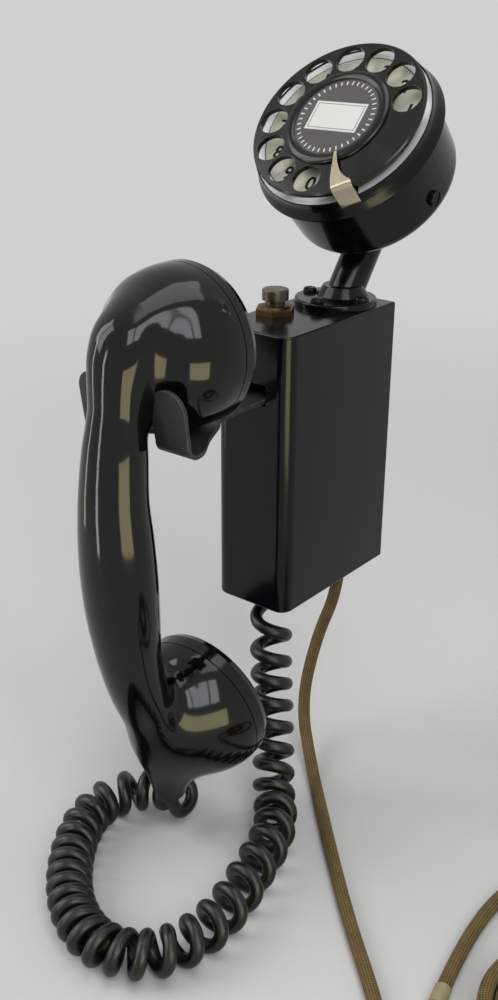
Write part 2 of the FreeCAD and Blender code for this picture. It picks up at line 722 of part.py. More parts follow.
def make_dial_cup():
    back = -CUP_DEPTH
    outer = turned([(0, back), (CUP_R - 1, back), (CUP_R, CUP_RIM), (0, CUP_RIM)])
    outer = outer.makeFillet(CUP_CORNER_R, [e for e in outer.Edges if e.BoundBox.ZMax < back + 0.1
                                            and e.Curve.TypeId == "Part::GeomCircle"])
    inner = turned([(0, back + CUP_WALL), (CUP_INSIDE_R - 1, back + CUP_WALL),
                    (CUP_INSIDE_R, CUP_RIM + 1), (0, CUP_RIM + 1)])
    inner = inner.makeFillet(CUP_CORNER_R - CUP_WALL, [e for e in inner.Edges
                                                       if e.BoundBox.ZMax < back + CUP_WALL + 0.1
                                                       and e.Curve.TypeId == "Part::GeomCircle"])
    cup = outer.cut(inner)
    lugs = [at_angle(block(CUP_INSIDE_R - 5, CUP_INSIDE_R + 0.5, -3.5, 3.5, CHASSIS - 5, CHASSIS), a)
            for a in lug_angles()]
    cup = fused([cup] + lugs)
    tools = [upright(6.0, 0, 0, back - 1, back + 3)]
    clamp = rod(1.6, V(CUP_INSIDE_R - 7, 0, REAR_PLATE + 1), V(CUP_INSIDE_R + 13, 0, REAR_PLATE + 1))
    tools.append(at_angle(clamp, CLAMP_ANGLE))
    for a in lug_angles():
        tools.append(at_angle(upright(1.1, CUP_INSIDE_R - 2.5, 0, CHASSIS - 6, CHASSIS + 1), a))
    return in_dial(cut_by(cup, tools))


def make_arm_ring_nut():
    z = -CUP_DEPTH + CUP_WALL
    nut = hexagon(17.0, 0, 0, z, z + 2.5).cut(upright(6.0, 0, 0, z - 1, z + 4))
    return in_dial(nut)


def stop_notch(reach):
    return at_angle(block(CUP_INSIDE_R - 11, reach, -4.35, 4.35, CUP_RIM - 0.01, 0), STOP_ANGLE)


def make_bezel_ring():
    lip = CUP_INSIDE_R - 0.2
    profile = [(CUP_R, BEZEL_FOOT), (WHEEL_R + 3.7, BEZEL_FOOT), (WHEEL_R + 3.4, BEZEL_FOOT + 0.7),
               (WHEEL_R + 1.8, BEZEL_WAIST - 1.6), (WHEEL_R + 1.25, BEZEL_WAIST),
               (WHEEL_R + 1.2, BEZEL_TOP), (BEZEL_BORE_R, BEZEL_TOP), (BEZEL_BORE_R, LEDGE),
               (lip, LEDGE), (lip, CUP_RIM), (CUP_R, CUP_RIM)]
    return in_dial(turned(profile).cut(stop_notch(WHEEL_R + 1.55)))


def make_number_plate():
    plate = ring(BEZEL_BORE_R - SLIP, 14.0, LEDGE, PLATE_FACE)
    return in_dial(plate.cut(stop_notch(WHEEL_R + 3)))


def make_finger_stop():
    thick = 1.0
    inner = WHEEL_R + 0.5
    half = 4.25
    arm_low = 1.5 + 0.4
    leg = block(inner, inner + thick, -half, half, CUP_RIM, arm_low + thick)
    foot = block(WHEEL_R - 8, inner + thick, -half, half, CUP_RIM, CUP_RIM + thick)
    tip = HOLE_CIRCLE_R - 10.0
    outline = [V(inner + thick, -half, 0), V(inner - 3, -half, 0), V(tip + 1.6, -2.6, 0),
               V(tip + 0.4, -1.6, 0), V(tip, 0, 0), V(tip + 0.4, 1.2, 0), V(tip + 1.6, 1.9, 0),
               V(inner - 3, half, 0), V(inner + thick, half, 0), V(inner + thick, -half, 0)]
    arm = Part.Face(Part.makePolygon(outline)).extrude(V(0, 0, thick))
    arm.translate(V(0, 0, arm_low))
    stop = fused([leg, foot, arm])
    bends = [e for e in stop.Edges if e.BoundBox.YLength > 2 * half - 0.1 and e.BoundBox.XLength < 0.01
             and e.BoundBox.XMin > inner + thick - 0.05]
    stop = stop.makeFillet(0.9, bends)
    for y in (-2.0, 2.0):
        stop = stop.cut(upright(1.0, WHEEL_R - 4.5, y, CUP_RIM - 1, CUP_RIM + 3))
    return in_dial(at_angle(stop, STOP_ANGLE))


def make_finger_stop_screws():
    screws = []
    for y in (-2.0, 2.0):
        screw = slotted_screw(1.7, 0.9, 1.0, 2.6, WHEEL_R - 4.5, y, CUP_RIM + 1.0)
        screws.append(in_dial(at_angle(screw, STOP_ANGLE)))
    return screws


def pinion_place():
    a = math.radians(PINION_ANGLE)
    return V(PINION_CENTRE * math.cos(a), PINION_CENTRE * math.sin(a), 0)


def governor_place():
    a = math.radians(GOVERNOR_ANGLE)
    return pinion_place().add(V(GOVERNOR_CENTRE * math.cos(a), GOVERNOR_CENTRE * math.sin(a), 0))


def pillar_angles():
    return (38.0, 190.0, 275.0)


def make_dial_chassis():
    front = ring(CUP_INSIDE_R - 0.3, MAIN_SHAFT_R + FIT, CHASSIS, CUP_RIM)
    tools = []
    for a in lug_angles():
        tools.append(at_angle(upright(1.1, CUP_INSIDE_R - 2.5, 0, CHASSIS - 6, 0), a))
    for place in (pinion_place(), governor_place()):
        tools.append(upright(1.0 + FIT, place.x, place.y, CHASSIS - 1, 0))
    for y in (-2.0, 2.0):
        tools.append(at_angle(upright(1.0, WHEEL_R - 4.5, y, CHASSIS - 1, 0), STOP_ANGLE))
    for a in pillar_angles():
        tools.append(at_angle(upright(1.2, PILLAR_R, 0, CHASSIS - 1, 0), a))
    return in_dial(cut_by(front, tools))


def make_dial_rear_plate():
    low = REAR_PLATE - 1.2
    plate = ring(CUP_INSIDE_R - 6, MAIN_SHAFT_R + FIT, low, REAR_PLATE)
    lug = at_angle(block(PILLAR_R, CUP_INSIDE_R - 3, -4, 4, low, REAR_PLATE + 4), CLAMP_ANGLE)
    plate = fused([plate, lug])
    tools = [at_angle(rod(1.5, V(PILLAR_R - 3, 0, REAR_PLATE + 1), V(CUP_INSIDE_R, 0, REAR_PLATE + 1)),
                      CLAMP_ANGLE)]
    for place in (pinion_place(), governor_place()):
        tools.append(upright(1.0 + FIT, place.x, place.y, low - 1, REAR_PLATE + 1))
    for a in pillar_angles():
        tools.append(at_angle(upright(1.2, PILLAR_R, 0, low - 1, REAR_PLATE + 1), a))
    return in_dial(cut_by(plate, tools))


def make_dial_pillars():
    pillars = []
    for a in pillar_angles():
        body = fused([upright(2.6, PILLAR_R, 0, REAR_PLATE, CHASSIS),
                      upright(1.2, PILLAR_R, 0, REAR_PLATE - 1.2, CUP_RIM)])
        pillars.append(in_dial(at_angle(body, a)))
    return pillars


def make_chassis_screws():
    return [in_dial(at_angle(slotted_screw(2.0, 1.0, 1.1, 5.5, CUP_INSIDE_R - 2.5, 0, CUP_RIM), a))
            for a in lug_angles()]


def make_cup_clamp_screw():
    screw = slotted_screw(3.3, 2.2, 1.5, 8.5, 0, 0, 0)
    screw.rotate(V(0, 0, 0), V(0, 0, 1), 35)
    screw.rotate(V(0, 0, 0), V(0, 1, 0), 90)
    screw.translate(V(CUP_R - 0.55, 0, REAR_PLATE + 1))
    return in_dial(at_angle(screw, CLAMP_ANGLE))


def make_dial_main_spring():
    return in_dial(winding(V(0, 0, 0), 6.0, 0.5, REAR_PLATE, -20.0, 8))


def make_governor_drum():
    place = governor_place()
    drum = fused([ring(DRUM_R, DRUM_R - 0.8, REAR_PLATE, REAR_PLATE + 5),
                  ring(DRUM_R, 1.6, REAR_PLATE, REAR_PLATE + 0.8)])
    drum.translate(place)
    return in_dial(drum)


def impulse_leaf(step):
    place = pinion_place()
    x = place.x - CAM_R - 2 * GAP - step
    y = place.y - CAM_R
    return block(x - LEAF, x, y - 10.0, y + 11.3, -22.4, -19.6)


def make_impulse_block():
    place = pinion_place()
    x = place.x - CAM_R
    y = place.y - CAM_R
    body = block(x - 4.0, x + 0.2, y - 12.7, y - 7.1, REAR_PLATE, -18.5)
    return in_dial(cut_by(body, [impulse_leaf(0.0), impulse_leaf(2.4)]))


def make_impulse_springs():
    return [in_dial(impulse_leaf(0.0)), in_dial(impulse_leaf(2.4))]


# Dial, turning pieces
def toothed(teeth, z0, z1, phase):
    pitch_r = GEAR_MODULE * teeth / 2
    root = pitch_r - 1.25 * GEAR_MODULE
    tip = pitch_r + 0.85 * GEAR_MODULE
    step = 360.0 / teeth
    root_half = math.degrees(0.85 * GEAR_MODULE / root)
    tip_half = math.degrees(0.3 * GEAR_MODULE / tip)
    corners = []
    for i in range(teeth):
        middle = phase + i * step
        for radius, offset in ((root, -root_half), (tip, -tip_half), (tip, tip_half), (root, root_half)):
            a = math.radians(middle + offset)
            corners.append(V(radius * math.cos(a), radius * math.sin(a), z0))
    return Part.Face(Part.makePolygon(corners + [corners[0]])).extrude(V(0, 0, z1 - z0))


def hole_places():
    places = []
    for i in range(10):
        a = math.radians(HOLE_ONE + i * HOLE_STEP)
        places.append((HOLE_CIRCLE_R * math.cos(a), HOLE_CIRCLE_R * math.sin(a)))
    return places


def make_finger_wheel():
    wheel = turned([(0, -WHEEL_THICK), (WHEEL_R - 0.5, -WHEEL_THICK), (WHEEL_R, -WHEEL_THICK + 0.5),
                    (WHEEL_R, -0.6), (WHEEL_R - 0.6, 0), (0, 0)])
    tools = [upright(HOLE_R, x, y, -5, 5) for x, y in hole_places()]
    tools.append(turned([(0, -3), (2.0, -3), (2.0, -WHEEL_THICK), (4.0, 0), (0, 0)]))
    return in_dial(cut_by(wheel, tools))


def make_wheel_screw():
    head = turned([(0, -9), (2.0, -9), (2.0, -WHEEL_THICK), (4.0, 0), (0, 0)])
    return in_dial(head.cut(block(-0.5, 0.5, -5, 5, -0.8, 1)))


def make_card_ring():
    edge = CARD_R + 1.1
    profile = [(edge, 0), (CARD_RING_R, 0), (CARD_RING_R, 0.9), (CARD_RING_R - 0.7, 1.5), (CARD_R + 0.6, 1.5),
               (CARD_R, 1.1), (CARD_R, 0.9), (edge, 0.9)]
    return in_dial(turned(profile))


def make_dial_card():
    return in_dial(upright(CARD_R + 1.0, 0, 0, 0, 0.4))


def make_card_window():
    return in_dial(upright(CARD_R + 1.0, 0, 0, 0.4, 0.9))


def make_main_shaft():
    shaft = fused([upright(MAIN_SHAFT_R, 0, 0, REAR_PLATE - 2.2, -WHEEL_THICK),
                   upright(5.0, 0, 0, -4.0, -WHEEL_THICK)])
    return in_dial(shaft.cut(upright(2.0, 0, 0, -9, 0)))


def make_main_gear():
    gear = fused([toothed(MAIN_TEETH, -16.5, -15.0, PINION_ANGLE), upright(6.0, 0, 0, -19.0, -15.0)])
    return in_dial(gear.cut(upright(MAIN_SHAFT_R, 0, 0, -30, 0)))


def make_pinion():
    place = pinion_place()
    facing = PINION_ANGLE + 180
    cam = upright(CAM_R, 0, 0, -22.0, -20.5).common(block(-CAM_R, CAM_R, -3.4, 3.4, -23, -20))
    pieces = [toothed(PINION_TEETH, -17.2, -14.3, facing + 180.0 / PINION_TEETH), cam,
              toothed(SECOND_WHEEL_TEETH, -28.0, -26.8, GOVERNOR_ANGLE),
              upright(1.0, 0, 0, REAR_PLATE - 1.2, CUP_RIM), upright(2.2, 0, 0, -29.5, -14.3)]
    pinion = fused(pieces)
    pinion.translate(place)
    return in_dial(pinion)


def make_governor():
    place = governor_place()
    facing = GOVERNOR_ANGLE + 180
    span = DRUM_R - 1.4
    arm = block(-span, span, -1.2, 1.2, -34.2, -33.2)
    weights = [block(x, x + 2.0, -1.8, 1.8, -34.6, -31.4) for x in (-span, span - 2.0)]
    pieces = [toothed(PINION_TEETH, -28.6, -26.2, facing + 180.0 / PINION_TEETH), arm,
              upright(1.0, 0, 0, REAR_PLATE - 1.2, CUP_RIM)] + weights
    governor = fused(pieces)
    governor.translate(place)
    return in_dial(governor)


# Handset
def dome_radius(radius, depth, power, t):
    return radius * (1 - (t / depth) ** power) ** (1 / power)


def dome(radius, depth, power):
    steps = 14
    curve = Part.BSplineCurve()
    points = []
    for i in range(steps + 1):
        t = depth * math.sin(math.pi / 2 * i / steps)
        r = 0.0 if i == steps else dome_radius(radius, depth, power, t)
        points.append(V(r, 0, -t))
    curve.interpolate(Points=points, InitialTangent=V(0, 0, -1), FinalTangent=V(-1, 0, 0))
    edges = [curve.toShape(), Part.makeLine(points[-1], V(0, 0, 0)), Part.makeLine(V(0, 0, 0), points[0])]
    return Part.Face(Part.Wire(edges)).revolve(V(0, 0, 0), V(0, 0, 1), 360)


def lowest_of_dome(radius, depth, power, tilt):
    lean = math.radians(tilt)
    steps = [depth * i / 100 for i in range(100)]
    return max(t * math.sin(lean) + dome_radius(radius, depth, power, t) * math.cos(lean) for t in steps)


RECEIVER_Z = REST_Z + GAP + lowest_of_dome(RECEIVER_R, RECEIVER_DEPTH, RECEIVER_POWER, RECEIVER_TILT)
RECEIVER = FreeCAD.Placement(V(0, FRONT - RECEIVER_REACH, RECEIVER_Z),
                             FreeCAD.Rotation(V(1, 0, 0), RECEIVER_TILT - 90))
TRANSMITTER = FreeCAD.Placement(V(0, FRONT - TRANSMITTER_REACH, REST_Z - TRANSMITTER_DROP),
                                FreeCAD.Rotation(V(1, 0, 0), TRANSMITTER_TILT - 90))


def handle_point(station):
    return V(0, FRONT - station[0], REST_Z + station[1])


def handle_loft(stations, fixed_r):
    centres = [handle_point(s) for s in stations]
    wires = []
    for i, station in enumerate(stations):
        ahead = centres[min(i + 1, len(centres) - 1)]
        behind = centres[max(i - 1, 0)]
        along = ahead.sub(behind)
        along.normalize()
        depth_axis = V(1, 0, 0).cross(along)
        half_width = fixed_r if fixed_r else station[2]
        half_depth = fixed_r if fixed_r else station[3]
        points = []
        for k in range(16):
            a = 2 * math.pi * k / 16
            points.append(centres[i].add(V(half_width * math.cos(a), 0, 0))
                          .add(V(depth_axis).multiply(half_depth * math.sin(a))))
        curve = Part.BSplineCurve()
        curve.interpolate(Points=points, PeriodicFlag=True)
        wires.append(Part.Wire([curve.toShape()]))
    return Part.makeLoft(wires, True, False)


def tail_end():
    return handle_point(HANDLE[-1])


def make_handset_body():
    outer = [handle_loft(HANDLE, None), moved(dome(RECEIVER_R, RECEIVER_DEPTH, RECEIVER_POWER), RECEIVER),
             moved(dome(TRANSMITTER_R, TRANSMITTER_DEPTH, TRANSMITTER_POWER), TRANSMITTER)]
    tail = tail_end()
    nose = tail.add(V(TAIL_DIRECTION).multiply(1.0))
    outer.append(rod(6.6, tail.sub(V(TAIL_DIRECTION).multiply(3)), nose))
    body = outer[0]
    for shape in outer[1:]:
        body = body.fuse(shape)
    inside_r = dome(RECEIVER_R - CUP_SHELL, RECEIVER_DEPTH - CUP_SHELL, RECEIVER_POWER)
    inside_t = dome(TRANSMITTER_R - CUP_SHELL, TRANSMITTER_DEPTH - CUP_SHELL, TRANSMITTER_POWER)
    deep = tail.sub(V(TAIL_DIRECTION).multiply(29))
    seat = tail.sub(V(TAIL_DIRECTION).multiply(6))
    tools = [moved(inside_r, RECEIVER), moved(inside_t, TRANSMITTER), handle_loft(HANDLE[:-2], 3.2),
             rod(BUSHING_R, seat, nose.add(TAIL_DIRECTION)), rod(3.2, deep, tail)]
    return cut_by(body, tools)


def make_handset_bushing():
    tail = tail_end()
    start = tail.sub(V(TAIL_DIRECTION).multiply(6))
    end = tail.add(V(TAIL_DIRECTION).multiply(BUSHING_OUT))
    return rod(BUSHING_R, start, end).cut(rod(3.0, start.sub(TAIL_DIRECTION), end.add(TAIL_DIRECTION)))


def handset_cap(radius, barrel, holes, placement):
    thread_r = radius - CUP_SHELL - 0.9
    profile = [(0, barrel + 0.4), (10, barrel + 0.8), (radius - 8, barrel + 3.8), (radius - 4, barrel + 3.8),
               (radius - 1.2, barrel + 2.8), (radius, barrel), (radius, 0), (thread_r, 0), (thread_r, -5),
               (thread_r - 2.5, -5), (thread_r - 2.5, 2.2), (0, 2.2)]
    cap = turned(profile)
    cap = cap.cut(upright(1.3, 0, 0, -10, 12))
    for circle_r, count in holes:
        for i in range(count):
            a = 2 * math.pi * i / count
            cap = cap.cut(upright(1.3, circle_r * math.cos(a), circle_r * math.sin(a), -10, 12))
    return moved(cap, placement)


def capsule(radius, depth):
    return turned([(0, 1.4), (radius - 8, 1.4), (radius - 7, 0.4), (radius - 7, -3), (radius - 10, -3),
                   (radius - 10, -depth * 0.45), (0, -depth * 0.45)])


# Curly cord: a left-hand helix that winds round the route's spline as its axis
def curly_tail():
    top = tail_end().add(V(TAIL_DIRECTION).multiply(BUSHING_OUT + GAP))
    return top.add(V(TAIL_DIRECTION).multiply(CURLY_WIRE)), top


def curly_route():
    lie = FLOOR + CURL_R + CURLY_WIRE / 2 + 0.3
    end = curly_tail()[0].sub(V(CURLY_END_SIDE).multiply(CURL_R))
    return [
        V(CURLY_AXIS_X, CURLY_AXIS_Y, BOTTOM + 4.5),
        V(CURLY_AXIS_X, CURLY_AXIS_Y, BOTTOM - 10),
        V(6, -69, BOTTOM - 30),
        V(10, -73, BOTTOM - 45),
        V(14, -77, BOTTOM - 60),
        V(19, -83, BOTTOM - 75),
        V(27, -93, lie),
        V(37, -104, lie),
        V(44, -118, lie),
        V(49, -136, lie),
        V(55, -158, lie),
        V(56, -181, lie),
        V(47, -200, lie),
        V(28, -207, lie),
        V(8, -200, lie),
        V(-8, -187, lie),
        V(-21, -171, lie),
        V(-30, -154, lie),
        V(-31, -138, lie),
        V(-23, -126, lie + 1.5),
        end.sub(V(CURLY_END_HEADING).multiply(13.0)),
        end,
    ]


def spline(poles):
    spans = len(poles) - 2
    curve = Part.BSplineCurve()
    curve.buildFromPolesMultsKnots(poles, [3] + [1] * (spans - 1) + [3], [float(i) for i in range(spans + 1)],
                                   False, 2)
    return curve


def curly_frames(count):
    curve = spline(curly_route())
    total = curve.length()
    frames = []
    side = V(1, 0, 0)
    for i in range(count + 1):
        u = curve.parameterAtDistance(total * i / count)
        heading = curve.tangent(u)[0]
        side = side.sub(V(heading).multiply(side.dot(heading)))
        side.normalize()
        frames.append((curve.value(u), heading, V(side), heading.cross(side)))
    return frames, total


def smooth(x):
    x = min(1.0, max(0.0, x))
    return x * x * (3 - 2 * x)


def turn_of(direction, frame):
    return math.atan2(direction.dot(frame[3]), direction.dot(frame[2]))


def make_curly_cord():
    count = 1200
    frames, total = curly_frames(count)
    turned_so_far = [0.0]
    for i in range(count):
        s = total * (i + 0.5) / count - CURLY_WIRE
        rate = 0.42 + 0.58 * smooth(s / 40.0) - 0.25 * smooth(1 - (total - CURLY_WIRE - s) / 60.0)
        turned_so_far.append(turned_so_far[-1] + (rate if s > 0 else 0.0))
    first = turn_of(CURLY_START_SIDE, frames[0])
    last = turn_of(CURLY_END_SIDE, frames[-1])
    whole = (first - last) % (2 * math.pi) + 2 * math.pi * (CURLS - 1)
    scale = whole / turned_so_far[-1]

    def wire_point(x):
        i = min(max(int(x), 0), count - 1)
        f = x - i
        centre, heading, side, across = [V(frames[i][k]).multiply(1 - f).add(V(frames[i + 1][k]).multiply(f))
                                         for k in range(4)]
        a = first - scale * (turned_so_far[i] * (1 - f) + turned_so_far[i + 1] * f)
        return centre.add(side.multiply(CURL_R * math.cos(a))).add(across.multiply(CURL_R * math.sin(a)))

    quarters = int(round(whole / (math.pi / 2)))
    step = whole / quarters
    knots = [CURLY_WIRE / total * count]
    for i in range(count):
        target = len(knots) * step
        low = turned_so_far[i] * scale
        high = turned_so_far[i + 1] * scale
        if low <= target < high and len(knots) < quarters:
            knots.append(i + (target - low) / (high - low))
    knots.append(float(count))
    points = [wire_point(k) for k in knots]
    headings = []
    for k in knots:
        heading = wire_point(min(k + 0.5, count)).sub(wire_point(k - 0.5))
        heading.normalize()
        headings.append(heading)
    headings[0] = frames[0][1]
    headings[-1] = V(TAIL_DIRECTION).multiply(-1)
    start = points[0].sub(V(frames[0][1]).multiply(CURLY_WIRE))
    edges = [Part.LineSegment(start, points[0]).toShape()]
    for i in range(len(points) - 1):
        edges.extend(biarc(points[i], headings[i], points[i + 1], headings[i + 1]))
    edges.append(Part.LineSegment(points[-1], curly_tail()[1]).toShape())
    length = sum(e.Length for e in edges)
    report_gap(edges, CURLY_WIRE, "curly_cord")
    tube = swept(edges, CURLY_WIRE / 2)
    share = tube.Volume / (math.pi * CURLY_WIRE ** 2 / 4 * length)
    print("curly_cord: axis %.1f, wire %.1f, arcs %d, volume share %.4f" % (total, length, len(edges), share))
    return tube


def report_gap(edges, wire, name):
    samples = []
    travelled = 0.0
    tightest = 1e9
    for edge in edges:
        if edge.Curve.TypeId == "Part::GeomCircle":
            tightest = min(tightest, edge.Curve.Radius)
        steps = max(2, int(edge.Length / 2.0))
        for i, p in enumerate(edge.discretize(steps + 1)[:-1]):
            samples.append((travelled + edge.Length * i / steps, p))
        travelled += edge.Length
    positions = samples
    nearest = 1e9
    nearest_at = V(0, 0, 0)
    cells = {}
    size = 12.0
    for i, (s, p) in enumerate(positions):
        cells.setdefault((int(p.x // size), int(p.y // size), int(p.z // size)), []).append(i)
    lowest = min(p.z for s, p in positions)
    for (cx, cy, cz), members in cells.items():
        near = []
        for dx in (-1, 0, 1):
            for dy in (-1, 0, 1):
                for dz in (-1, 0, 1):
                    near.extend(cells.get((cx + dx, cy + dy, cz + dz), []))
        for i in members:
            for j in near:
                if positions[j][0] - positions[i][0] > 16.0:
                    apart = positions[i][1].distanceToPoint(positions[j][1])
                    if apart < nearest:
                        nearest = apart
                        nearest_at = positions[i][1]
    print("%s: least gap to itself %.2f near (%.0f, %.0f, %.0f), tightest bend %.2f, above the floor %.2f"
          % (name, nearest - wire, nearest_at.x, nearest_at.y, nearest_at.z, tightest,
             lowest - wire / 2 - FLOOR))


# Line cord
def coil_place(angle, radius, layer):
    a = math.radians(angle)
    z = FLOOR + TIE + LINE_CORD / 2 + layer * (LINE_CORD + COIL_LAYER_GAP)
    return V(COIL_CENTRE_X + radius * math.cos(a), COIL_CENTRE_Y + radius * math.sin(a), z)


def coil_heading(angle):
    a = math.radians(angle)
    return V(-math.sin(a), math.cos(a), 0)


def coil_radius(swept_angle):
    half = COIL_SWEEP / 2
    from_turn = abs(swept_angle - half)
    if from_turn < 60.0:
        from_turn = 30.0 + from_turn * from_turn / 120.0
    return COIL_OUTER_R - COIL_PITCH * (half - from_turn) / 360.0


def coil_level(swept_angle):
    half = COIL_SWEEP / 2
    return smooth((swept_angle - half + 90.0) / 180.0)


def coil_point(swept_angle):
    return coil_place(COIL_START + swept_angle, coil_radius(swept_angle), coil_level(swept_angle))


def make_line_cord_coil():
    step = 90.0
    count = int(round(COIL_SWEEP / step))
    points = []
    headings = []
    for i in range(count + 1):
        w = i * step
        points.append(coil_point(w))
        heading = coil_point(w + 1).sub(coil_point(w - 1)) if 0 < i < count else coil_heading(COIL_START + w)
        heading.normalize()
        headings.append(heading)
    edges = []
    for i in range(count):
        edges.extend(biarc(points[i], headings[i], points[i + 1], headings[i + 1]))
    length = sum(e.Length for e in edges)
    report_gap(edges, LINE_CORD, "line_cord_coil")
    print("line_cord_coil: length %.1f" % length)
    return swept(edges, LINE_CORD / 2)


def lead_route():
    lie = FLOOR + LINE_CORD / 2
    up = FLOOR + TIE + LINE_CORD / 2
    start = coil_place(COIL_START, COIL_OUTER_R, 0)
    before = start.sub(coil_heading(COIL_START).multiply(34.0))
    return [
        V(LINE_X, LINE_Y, BOTTOM + 3),
        V(LINE_X, LINE_Y, BOTTOM - 17),
        V(-3, -20, BOTTOM - 45),
        V(-2, -33, FLOOR + 18),
        V(20, -54, lie),
        V(40, -75, lie),
        V(67, -103, lie),
        V(94, -130, lie),
        V(123, -156, lie),
        V(147, -182, up),
        before,
        start,
    ]


def tail_route():
    lie = FLOOR + LINE_CORD / 2
    end_angle = COIL_START + COIL_SWEEP
    start = coil_place(end_angle, coil_radius(COIL_SWEEP), 1)
    after = start.add(coil_heading(end_angle).multiply(36.0))
    return [start, after, V(170, -38, FLOOR + 6), V(137, -54, lie), V(131.5, -100, lie), V(142, -144, lie)]


def tail_heading():
    route = tail_route()
    heading = route[-1].sub(route[-2])
    heading.normalize()
    return route[-1], heading


def along_tail(shape):
    end, heading = tail_heading()
    degrees = math.degrees(math.atan2(heading.y, heading.x))
    placed = shape.copy()
    placed.rotate(V(0, 0, 0), V(0, 0, 1), degrees)
    placed.translate(V(end.x, end.y, FLOOR))
    return placed


def make_cord_binding():
    r = LINE_CORD / 2
    sleeve = rod(r + 0.6, V(-9, 0, r), V(3, 0, r)).cut(rod(r, V(-12, 0, r), V(0, 0, r)))
    return along_tail(sleeve.common(block(-20, 20, -9, 9, 0, 20)))


def make_spade_terminals():
    blades = []
    r = LINE_CORD / 2
    for angle, low in ((-24.0, 0.0), (0.0, 0.0), (24.0, 0.0)):
        wire = rod(0.9, V(2.8, 0, r), V(11, 0, r - 1.2))
        tag = block(10, 19, -2.6, 2.6, r - 1.7, r - 0.9).cut(block(14.5, 20, -1.2, 1.2, 0, 9))
        blade = fused([wire, tag])
        blade.rotate(V(1.0, 0, 0), V(0, 0, 1), angle)
        blades.append(blade)
    return along_tail(fused(blades))


def make_coil_tie():
    angle = 120.0
    passes = [(angle - COIL_START) % 360.0 + 360.0 * i for i in range(8)]
    radii = [coil_radius(w) for w in passes if w < COIL_SWEEP]
    inner = min(radii) - LINE_CORD / 2 - GAP
    outer = max(radii) + LINE_CORD / 2 + GAP
    height = 2 * LINE_CORD + COIL_LAYER_GAP + 2 * TIE
    tie = block(inner - TIE, outer + TIE, -3.5, 3.5, 0, height)
    tie = tie.cut(block(inner, outer, -4, 4, TIE, height - TIE))
    tie = at_angle(tie, angle)
    tie.translate(V(COIL_CENTRE_X, COIL_CENTRE_Y, FLOOR))
    return tie


def build():
    os.makedirs("parts", exist_ok=True)
    save("case_cover", make_case_cover())
    save("back_plate", make_back_plate())
    save("cover_screws", make_cover_screws())
    save("hook_bracket", make_hook_bracket())
    save("bracket_rivets", make_bracket_rivets())
    save("hook_pivot_pin", make_hook_pivot_pin())
    save("cradle_fork", make_cradle_fork())
    save("hook_roller", make_hook_roller())
    save("roller_pin", make_roller_pin())
    save("hook_spring", make_hook_spring())
    save("switch_springs", make_switch_springs())
    save("switch_insulators", make_switch_insulators())
    save("switch_screws", make_switch_screws())
    save("terminal_block", make_terminal_block())
    save("terminal_screws", make_terminal_screws())
    save("button_bushing", make_button_bushing())
    save("button_nut", make_button_nut())
    save("button_plunger", make_button_plunger())
    save("button_spring", make_button_spring())
    save("button_block", make_button_block())
    save("button_contacts", make_button_contacts())
    save("curly_cord_grommet", grommet(CURLY_X, CURLY_Y, CURLY_HOLE_R, CURLY_WIRE / 2 + GAP))
    save("line_cord_grommet", grommet(LINE_X, LINE_Y, LINE_HOLE_R, LINE_CORD / 2 + SLIP))
    save("dial_arm", make_dial_arm())
    save("flange_screws", make_flange_screws())
    save("flange_nuts", make_flange_nuts())
    save("dial_cup", make_dial_cup())
    save("arm_ring_nut", make_arm_ring_nut())
    save("cup_clamp_screw", make_cup_clamp_screw())
    save("bezel_ring", make_bezel_ring())
    save("number_plate", make_number_plate())
    save("finger_stop", make_finger_stop())
    save("finger_stop_screws", make_finger_stop_screws())
    save("dial_chassis", make_dial_chassis())
    save("chassis_screws", make_chassis_screws())
    save("dial_rear_plate", make_dial_rear_plate())
    save("dial_pillars", make_dial_pillars())
    save("dial_main_spring", make_dial_main_spring())
    save("governor_drum", make_governor_drum())
    save("impulse_block", make_impulse_block())
    save("impulse_springs", make_impulse_springs())
    save("finger_wheel", make_finger_wheel())
    save("wheel_screw", make_wheel_screw())
    save("card_ring", make_card_ring())
    save("dial_card", make_dial_card())
    save("card_window", make_card_window())
    save("main_shaft", [make_main_shaft(), make_main_gear()])
    save("pinion", make_pinion())
    save("governor", make_governor())
    save("handset_body", make_handset_body())
    save("handset_bushing", make_handset_bushing())
    save("receiver_cap", handset_cap(RECEIVER_R, RECEIVER_BARREL, [(6.0, 6)], RECEIVER))
    save("transmitter_cap", handset_cap(TRANSMITTER_R, TRANSMITTER_BARREL, [(6.0, 6), (12.0, 12)],
                                        TRANSMITTER))
    save("receiver_unit", moved(capsule(RECEIVER_R, RECEIVER_DEPTH), RECEIVER))
    save("transmitter_unit", moved(capsule(TRANSMITTER_R, TRANSMITTER_DEPTH), TRANSMITTER))
    save("curly_cord", make_curly_cord())
    save("line_cord", bent_tube(lead_route(), LINE_CORD / 2, "line_cord"))
    save("line_cord_coil", make_line_cord_coil())
    save("line_cord_tail", bent_tube(tail_route(), LINE_CORD / 2, "line_cord_tail"))
    save("cord_fittings", [make_cord_binding(), make_spade_terminals(), make_coil_tie()])


build()
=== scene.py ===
import math
import bmesh
import bpy
import numpy as np
from mathutils import Matrix, Vector


